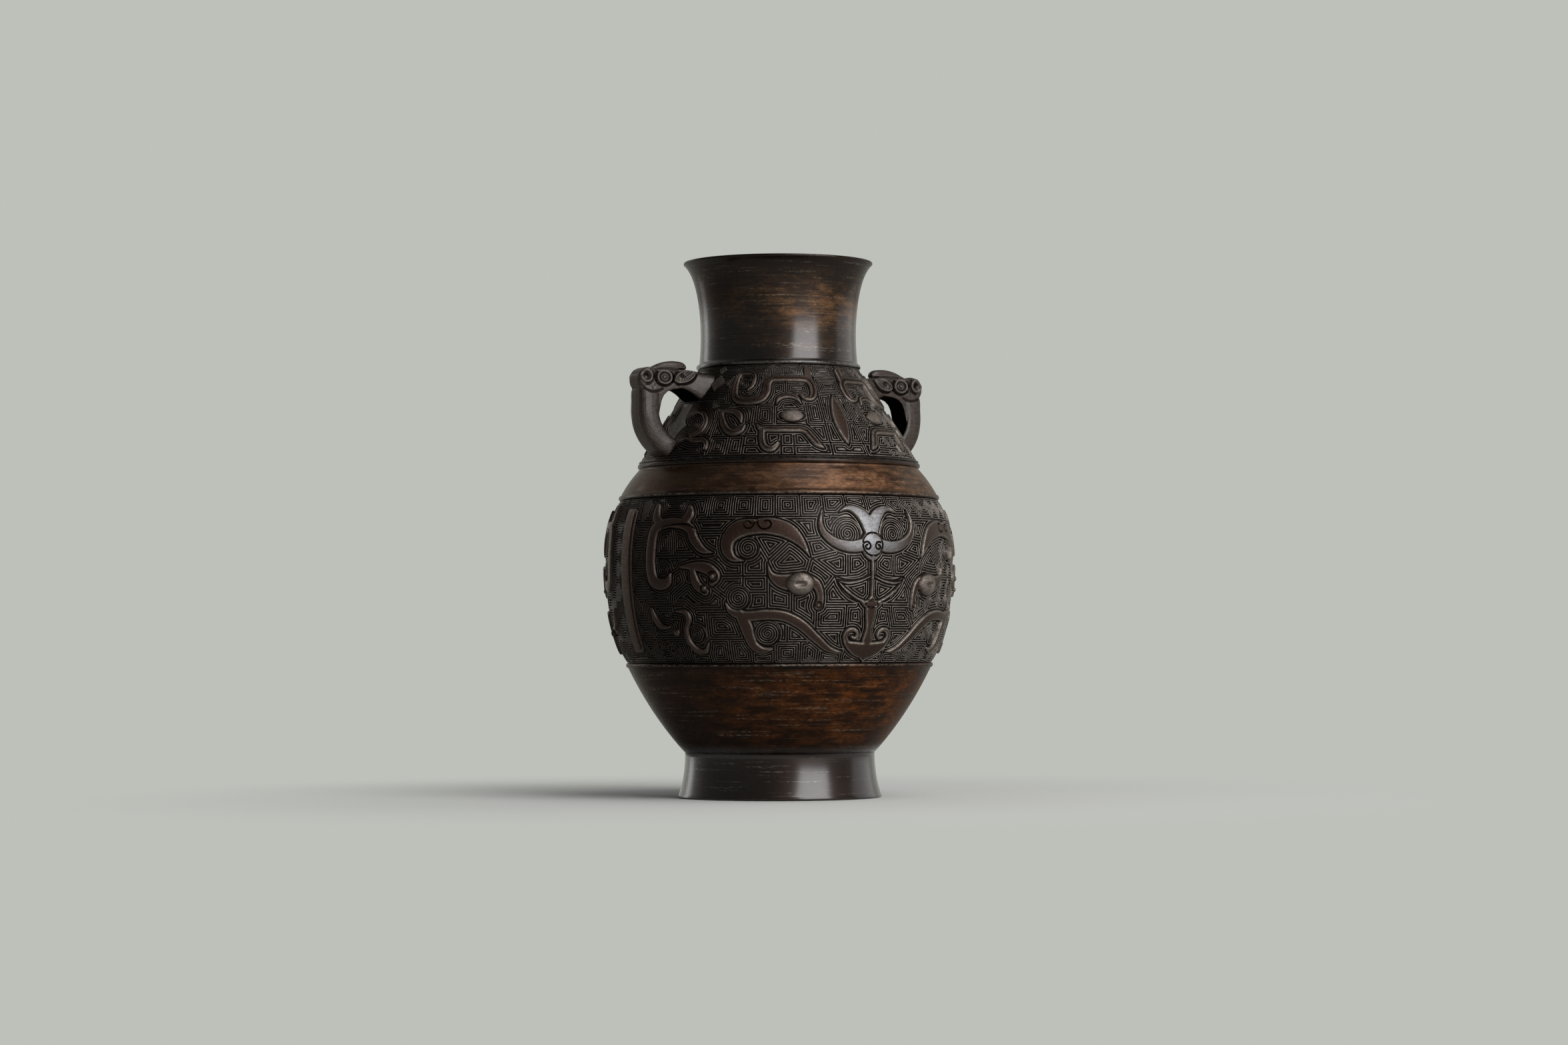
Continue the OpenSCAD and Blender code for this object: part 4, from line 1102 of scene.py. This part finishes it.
class Bronze(Tree):
    """A waxed bronze on a Principled shader, with the patina's masks and the place on the vase at hand."""

    STREAK_SIZE = 1.1 * MM

    def __init__(self, name, patch_size):
        self.material = bpy.data.materials.new(name)
        self.material.use_nodes = True
        super().__init__(self.material.node_tree)
        self.shader = self.nodes["Principled BSDF"]
        self.look({"Coat Roughness": 0.2, "Specular Tint": (0.5, 0.46, 0.42)})
        group = self.add("Group", node_tree=patina_group())
        self.feed(group, {"Patch Size": patch_size, "Streak Size": self.STREAK_SIZE})
        self.patches, self.fine, self.streaks, self.pits = group.outputs
        self.x, self.y, self.z = self.add("SeparateXYZ", {0: self.coordinates()}).outputs

    def look(self, inputs):
        self.feed(self.shader, inputs)

    def bump(self, height, distance):
        node = self.add("Bump", {"Height": height, "Distance": distance, "Strength": 1.0})
        self.look({"Normal": node.outputs[0]})

    def handled(self):
        """Painted light and shade: 1 to the right of the front, which faces the lamps, and less on the
        sides turned away from them.
        """
        toward = self.line(self.y, -0.85, self.math("MULTIPLY", self.x, 0.55))
        return self.line(self.beyond(toward, -0.02, 0.08), 0.88, 0.12)


def zones(colours, lower_top):
    """Stops of a ramp over the height: foot, lower body, belly frieze, band, shoulder frieze and neck."""
    bounds = ((0.0, 0.085), (0.1, lower_top), (0.252, 0.555), (0.565, 0.61), (0.618, 0.8), (0.812, 1.0))
    return [(place, colour) for ends, colour in zip(bounds, colours) for place in ends]


def body_bronze(c):
    b = Bronze("Body bronze", 9.5 * MM)
    up = b.math("DIVIDE", b.z, HEIGHT)
    dark = b.ramp(up, zones((c.foot, c.lower, c.frieze, c.band, c.frieze, c.neck), 0.235))
    warm = b.ramp(up, zones((c.band, c.amber, c.band, c.copper, c.band, c.neck_copper), 0.24))
    # how much of the warm colour shows through at each height
    share = [(0.0, 0.5), (0.09, 0.4), (0.12, 0.75), (0.2, 1.0), (0.235, 0.6), (0.3, 0.3), (0.555, 0.95),
             (0.605, 0.8), (0.64, 0.3), (0.81, 0.1), (0.86, 0.3), (0.9, 1.0), (0.935, 0.8), (0.955, 0.3),
             (0.985, 0.08)]
    # painted light and shade: the warm colour shows most on the side toward the lamps
    much = b.times(b.ramp(up, share), b.handled())
    mask = b.times(b.times(b.beyond(b.patches, 0.35, 0.95), b.line(b.fine, 1.25, 0.18)), much)
    mask = b.line(b.times(b.streaks, much), 0.22, mask, clamp=True)
    colour = b.mix(mask, dark, warm)
    # pale scuffs lie in level streaks where the wax has worn
    scuffs = b.times(b.beyond(b.streaks, 0.7, 1.0), b.beyond(b.fine, 0.4, 0.9))
    colour = b.mix(b.times(scuffs, 0.5), colour, c.scuff)
    # brassy rubs along the crests of the four fillets
    crests = 0.0
    for z in (Z_LOWER, Z_UPPER, Z_SHOULDER, Z_NECK):
        off = b.math("ABSOLUTE", b.math("SUBTRACT", b.z, z * MM))
        crests = b.math("MAXIMUM", crests, b.beyond(off, 0.55 * MM, 0.15 * MM))
    brassy = b.times(crests, b.beyond(b.fine, 0.35, 1.0))
    coat = [(0.0, 1.0), (0.085, 1.0), (0.1, 0.1), (0.24, 0.1), (0.56, 0.2), (0.61, 0.2), (0.81, 0.9),
            (0.88, 0.9), (0.93, 0.3)]
    b.look({"Base Color": b.mix(b.times(brassy, 0.6), colour, c.rub), "Metallic": 0.85,
            "Coat Weight": b.ramp(up, coat), "Roughness": b.line(mask, 0.22, b.line(b.fine, 0.14, 0.22))})
    b.bump(b.line(b.streaks, 0.2, b.line(b.pits, 0.3, b.times(b.fine, 0.5))), 0.18 * MM)
    return b.material


# The middle of the polished crest on the belly's mask, with its painted reflection, in metres
CREST_Z = 0.158


def frieze_bronze(c):
    b = Bronze("Frieze bronze", 14 * MM)
    rise, handled = b.mask("rise"), b.handled()
    tone = b.ramp(rise, [(0.0, c.recess), (0.2, c.recess), (0.36, c.frieze), (0.46, c.frieze),
                         (0.7, c.frieze_top), (1.0, c.frieze_top)])
    colour = b.mix(b.times(b.patches, 0.4), tone, c.band)
    # painted highlights: broken glints along the fine ridges, more on the side toward the lamps
    tops = b.ramp(rise, [(0.3, 0.0), (0.38, 1.0), (0.42, 1.0), (0.46, 0.0)])
    glint = b.times(b.line(b.beyond(b.fine, 0.1, 1.0), 0.75, 0.2), handled)
    colour = b.mix(b.times(tops, glint), colour, c.ridge)
    # edges and domes rubbed pale, with painted highlights, more on the side toward the lamps
    rub = b.times(b.times(b.mask("worn"), b.line(b.fine, 0.7, 0.16)), handled)
    colour = b.mix(rub, colour, c.rub)
    # the crest, polished by hands, with a painted reflection of the lamps on it
    up = b.math("SUBTRACT", b.z, CREST_Z)
    away = b.math("SQRT", b.math("ADD", b.math("MULTIPLY", b.x, b.x), b.math("MULTIPLY", up, up)))
    crest = b.math("SUBTRACT", 1.0, b.beyond(away, 0.008, 0.03), clamp=True)
    crest = b.times(crest, b.beyond(rise, 0.8, 0.97))
    polish_and_reflection = b.times(crest, b.line(b.fine, 0.4, 0.26))
    b.look({"Base Color": b.mix(polish_and_reflection, colour, c.silver), "Coat Weight": 0.12,
            "Metallic": b.line(b.math("MAXIMUM", rub, polish_and_reflection), 0.3, 0.7, clamp=True),
            "Roughness": b.line(rise, -0.06, b.line(b.fine, 0.16, 0.26))})
    b.bump(b.line(b.pits, 0.5, b.times(b.fine, 0.5)), 0.16 * MM)
    return b.material


def handle_bronze(c):
    b = Bronze("Handle bronze", 8 * MM)
    colour = b.mix(b.patches, c.handle_dark, c.handle_red)
    # painted sheen: pale patches of the rub colour all over the handles
    colour = b.mix(b.times(b.fine, 0.16), colour, c.rub)
    # painted shade round the finger gap, and dark patina in the face's grooves: both take the recess
    # colour, with less coat and reflection
    deep = b.beyond(b.mask("rise"), 0.45, 0.12)
    colour = b.mix(deep, colour, c.recess)
    b.look({"Base Color": b.mix(b.times(b.mask("worn"), 0.25), colour, c.rub), "Metallic": 0.9,
            "Roughness": b.line(deep, 0.5, b.line(b.fine, 0.18, 0.32), clamp=True),
            "Coat Weight": b.line(deep, -0.3, 0.3, clamp=True),
            "Specular IOR Level": b.line(deep, -0.45, 0.5, clamp=True)})
    b.bump(b.line(b.pits, 0.4, b.times(b.fine, 0.6)), 0.3 * MM)
    return b.material


def length_prop(name, millimetres, description):
    return FloatProperty(name=name, description=description, default=millimetres * MM, unit="LENGTH")


def colour_prop(name, rgb, description):
    return FloatVectorProperty(name=name, description=description, default=srgb(*rgb), subtype="COLOR",
                               size=3, min=0, max=1)


class VaseSizes(bpy.types.PropertyGroup):
    """Sizes of the dressed vase."""
    belly_relief: length_prop("Belly relief", 1.9, "How far the belly's relief stands out")
    shoulder_relief: length_prop("Shoulder relief", 1.4, "How far the shoulder's relief stands out")
    belly_pitch: length_prop("Belly ground", 1.42, "From line to line of the belly's squared ground")
    shoulder_pitch: length_prop("Shoulder ground", 1.3, "From line to line of the shoulder's ground")
    line_depth: length_prop("Line depth", 0.85, "Depth of the ground's cut lines")
    turn_steps: IntProperty(name="Steps round", description="Steps of the turned body round its axis",
                            default=288, min=64, max=320)
    handle_grain: length_prop("Handle grain", 0.28, "Finest detail of the handles' skin")


class VaseColours(bpy.types.PropertyGroup):
    """Colours of the patina and of the stage."""
    neck: colour_prop("Neck", (24, 16, 11), "Near-black brown of the neck")
    neck_copper: colour_prop("Neck copper", (138, 98, 62), "Copper brown that shows through on the neck")
    band: colour_prop("Band", (48, 31, 21), "Dark red-brown of the plain band")
    lower: colour_prop("Lower body", (22, 12, 5), "Dark brown of the lower body")
    copper: colour_prop("Copper", (156, 112, 80), "Copper brown that shows through")
    amber: colour_prop("Amber", (122, 68, 26), "Orange brown of the lower body")
    foot: colour_prop("Foot", (28, 17, 11), "Dark brown of the foot")
    scuff: colour_prop("Scuff", (150, 142, 128), "Pale scuffs on the wax")
    frieze: colour_prop("Frieze", (26, 21, 18), "Near-black brown of the friezes")
    frieze_top: colour_prop("Frieze top", (52, 38, 32), "Top of the flat relief")
    # painted highlight: the glints on the tops of the ground's fine ridges
    ridge: colour_prop("Ridge", (156, 147, 138), "Tops of the ground's fine ridges")
    # the recess colour also paints the shade round the handles' finger gap
    recess: colour_prop("Recess", (3, 2, 2), "Dark wax in the cut lines")
    # polish and a painted reflection of the lamps on the crest
    silver: colour_prop("Silver", (172, 174, 177), "Grey shine of the polished crest")
    # pale rub on edges, also used for painted highlights on the relief's rims and painted sheen on the
    # handles
    rub: colour_prop("Rub", (158, 150, 140), "Pale brassy rub on edges")
    handle_dark: colour_prop("Handle dark", (40, 36, 34), "Dark brown of the handles")
    handle_red: colour_prop("Handle red", (56, 42, 35), "Red-brown of the handles")
    floor: colour_prop("Floor", (222, 222, 217), "Pale floor")
    backdrop: colour_prop("Backdrop", (190, 192, 186), "Pale background")


def dress(piece, node, name, maker):
    """Gives a piece its material, made once, and its place in the part's table."""
    piece.data.materials.clear()
    piece.data.materials.append(bpy.data.materials.get(name) or maker(bpy.context.scene.vase_colours))
    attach(piece, "root")
    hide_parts(node)


def both_sides(name, frieze):
    quarter = frieze.quarter()
    for side in ("front", "back"):
        piece = frieze_side(name + "_" + side, quarter, side == "back")
        dress(piece, "vessel", "Frieze bronze", frieze_bronze)


class VASE_OT_body(bpy.types.Operator):
    """Turn the plain body: foot, lower body, fillets, band, neck, mouth and the hollow inside."""
    bl_idname = "vase.body"
    bl_label = "Turned body"

    def execute(self, context):
        body = spun_body("vase_body", context.scene.vase_sizes.turn_steps)
        dress(body, "vessel", "Body bronze", body_bronze)
        return {"FINISHED"}


class VASE_OT_belly_frieze(bpy.types.Operator):
    """Carve the mask and its squared ground on the front and back of the belly."""
    bl_idname = "vase.belly_frieze"
    bl_label = "Belly frieze"

    def execute(self, context):
        s = context.scene.vase_sizes
        sheet = Sheet(BELLY_LINE, 100, Z_LOWER, Z_UPPER)
        both_sides("belly_frieze", Frieze(
            sheet, BELLY_STROKES, BELLY_BORDERS, BELLY_RINGS, BELLY_CUTS, BELLY_DOMES, s.belly_relief / MM,
            s.belly_pitch / MM, s.line_depth / MM, groove=(1.1, 0.6), flange=True))
        return {"FINISHED"}


class VASE_OT_shoulder_frieze(bpy.types.Operator):
    """Carve the horned mask, its lens and the ground on the front and back of the shoulder."""
    bl_idname = "vase.shoulder_frieze"
    bl_label = "Shoulder frieze"

    def execute(self, context):
        s = context.scene.vase_sizes
        sheet = Sheet(SHOULDER_LINE, 65, Z_SHOULDER, Z_NECK)
        both_sides("shoulder_frieze", Frieze(
            sheet, SHOULDER_STROKES, SHOULDER_BORDERS, SHOULDER_RINGS, SHOULDER_CUTS, SHOULDER_DOMES,
            s.shoulder_relief / MM, s.shoulder_pitch / MM, s.line_depth / MM * 0.85, groove=(0.6, 0.5),
            lens=True))
        return {"FINISHED"}


class VASE_OT_handles(bpy.types.Operator):
    """Model the two animal-head handles."""
    bl_idname = "vase.handles"
    bl_label = "Animal-head handles"

    def execute(self, context):
        for side, way in (("right", 1), ("left", -1)):
            piece = handle_mesh("animal_handle_" + side, way, context.scene.vase_sizes.handle_grain)
            dress(piece, side + "_handle", "Handle bronze", handle_bronze)
        return {"FINISHED"}


# The camera's turn round the vase, and how it is turned and rolled to match the photograph, in degrees
VIEW_AZIMUTH, VIEW_TURN, VIEW_TILT, VIEW_ROLL = -31, -0.078, 1.97, -0.21
VIEW_AWAY, VIEW_HEIGHT = 2.216, 0.088


def seen_rays(t, toward):
    """How much of the plain backdrop a ray sees in a world or floor that lies along `toward`.

    It is 1 for the camera and for reflections of what lies behind the vase, little for reflections of the
    dim rest of the room, and 0 for the rays that light the vase.
    """
    azimuth = math.radians(VIEW_AZIMUTH)
    rays = t.add("LightPath").outputs
    mirrored = t.math("MAXIMUM", rays["Is Glossy Ray"], rays["Is Transmission Ray"])
    view = (-math.sin(azimuth), math.cos(azimuth), 0)
    ahead = t.vector("DOT_PRODUCT", t.vector("NORMALIZE", toward)[0], view)["Value"]
    behind = t.beyond(ahead, 0.2, 0.75, 0.14, "SMOOTHSTEP")
    return t.math("MAXIMUM", t.math("MULTIPLY", mirrored, behind), rays["Is Camera Ray"])


def area_light(name, azimuth, elevation, distance, size, size_y, energy, colour=(1, 1, 1)):
    """A soft rectangle that points at the vase's middle."""
    a, e = math.radians(azimuth), math.radians(elevation)
    way = Vector((math.sin(a) * math.cos(e), -math.cos(a) * math.cos(e), math.sin(e)))
    aim = Vector((0, 0, HEIGHT / 2))
    data = bpy.data.lights.new(name, "AREA")
    data.shape, data.size, data.size_y, data.energy, data.color = "RECTANGLE", size, size_y, energy, colour
    o = bpy.data.objects.new(name, data)
    bpy.context.collection.objects.link(o)
    o.location = aim + way * distance
    o.rotation_euler = (aim - o.location).to_track_quat("-Z", "Y").to_euler()


def lay_floor(colours):
    """A pale floor that fades to the backdrop's colour far from the vase, so that there is no horizon."""
    select_only()
    bpy.ops.mesh.primitive_plane_add(size=40)
    floor = bpy.context.object
    floor.name = "floor"
    material = bpy.data.materials.new("Pale floor")
    material.use_nodes = True
    t = Tree(material.node_tree)
    shader = t.nodes["Principled BSDF"]
    t.feed(shader, {"Base Color": colours.floor, "Roughness": 0.9})
    coords = t.coordinates()
    far = t.beyond(t.vector("LENGTH", coords)["Value"], 0.07, 0.45, 0.0, "SMOOTHSTEP")
    plain = t.add("Emission", {"Color": colours.backdrop}).outputs[0]
    share = t.math("MULTIPLY", far, seen_rays(t, coords))
    both = t.add("MixShader", {0: share, 1: shader.outputs[0], 2: plain})
    t.feed(t.nodes["Material Output"], {"Surface": both.outputs[0]})
    floor.data.materials.append(material)


def make_world(colours):
    """A dim even light, seen as the backdrop's colour."""
    world = bpy.data.worlds.new("Pale room")
    bpy.context.scene.world = world
    world.use_nodes = True
    t = Tree(world.node_tree)
    dim = t.nodes["Background"]
    t.feed(dim, {"Color": (0.9, 0.92, 0.94), "Strength": 0.12})
    plain = t.add("Background", {"Color": colours.backdrop, "Strength": 1.0}).outputs[0]
    both = t.add("MixShader", {0: seen_rays(t, t.coordinates("Generated")), 1: dim.outputs[0], 2: plain})
    t.feed(t.nodes["World Output"], {"Surface": both.outputs[0]})


def set_camera(scene):
    camera = bpy.data.objects.new("camera", bpy.data.cameras.new("camera"))
    scene.collection.objects.link(camera)
    camera.data.lens, camera.data.sensor_width, camera.data.clip_start = 85, 36, 0.05
    azimuth = math.radians(VIEW_AZIMUTH)
    place = (math.sin(azimuth) * VIEW_AWAY, -math.cos(azimuth) * VIEW_AWAY, VIEW_HEIGHT)
    camera.matrix_world = (Matrix.Translation(place)
                           @ Matrix.Rotation(azimuth + math.radians(VIEW_TURN), 4, "Z")
                           @ Matrix.Rotation(math.radians(90 + VIEW_TILT), 4, "X")
                           @ Matrix.Rotation(math.radians(VIEW_ROLL), 4, "Z"))
    scene.camera = camera


class VASE_OT_stage(bpy.types.Operator):
    """Lay the pale floor, light the vase softly and set the camera."""
    bl_idname = "vase.stage"
    bl_label = "Floor, light and camera"

    def execute(self, context):
        lay_floor(context.scene.vase_colours)
        make_world(context.scene.vase_colours)
        area_light("window", 10, 24, 2.4, 1.6, 1.7, 56, (0.97, 0.98, 1.0))
        area_light("right", 86, 16, 2.6, 2.0, 1.8, 8, (0.98, 0.98, 1.0))
        area_light("top", 20, 68, 2.4, 1.2, 1.0, 9)
        area_light("back_left", -164, 10, 2.4, 0.5, 1.4, 3.5, (0.95, 0.97, 1.0))
        set_camera(context.scene)
        context.scene.view_settings.view_transform = "Standard"
        return {"FINISHED"}


PIECES = (VASE_OT_body, VASE_OT_belly_frieze, VASE_OT_shoulder_frieze, VASE_OT_handles, VASE_OT_stage)


class VASE_PT_panel(bpy.types.Panel):
    """Lists the vase's pieces, sizes and colours."""
    bl_label = "Bronze vase"
    bl_idname = "VASE_PT_panel"
    bl_space_type = "VIEW_3D"
    bl_region_type = "UI"
    bl_category = "Vase"

    def draw(self, context):
        for piece in PIECES:
            self.layout.operator(piece.bl_idname)
        for group in (context.scene.vase_sizes, context.scene.vase_colours):
            box = self.layout.box()
            for key in group.__annotations__:
                box.prop(group, key)


CLASSES = (VaseSizes, VaseColours, *PIECES, VASE_PT_panel)


def register():
    for c in CLASSES:
        bpy.utils.register_class(c)
    bpy.types.Scene.vase_sizes = PointerProperty(type=VaseSizes)
    bpy.types.Scene.vase_colours = PointerProperty(type=VaseColours)


def unregister():
    del bpy.types.Scene.vase_colours
    del bpy.types.Scene.vase_sizes
    for c in reversed(CLASSES):
        bpy.utils.unregister_class(c)


def main():
    register()
    bpy.ops.vase.body()
    bpy.ops.vase.belly_frieze()
    bpy.ops.vase.shoulder_frieze()
    bpy.ops.vase.handles()
    bpy.ops.vase.stage()


if __name__ == "__main__":
    main()
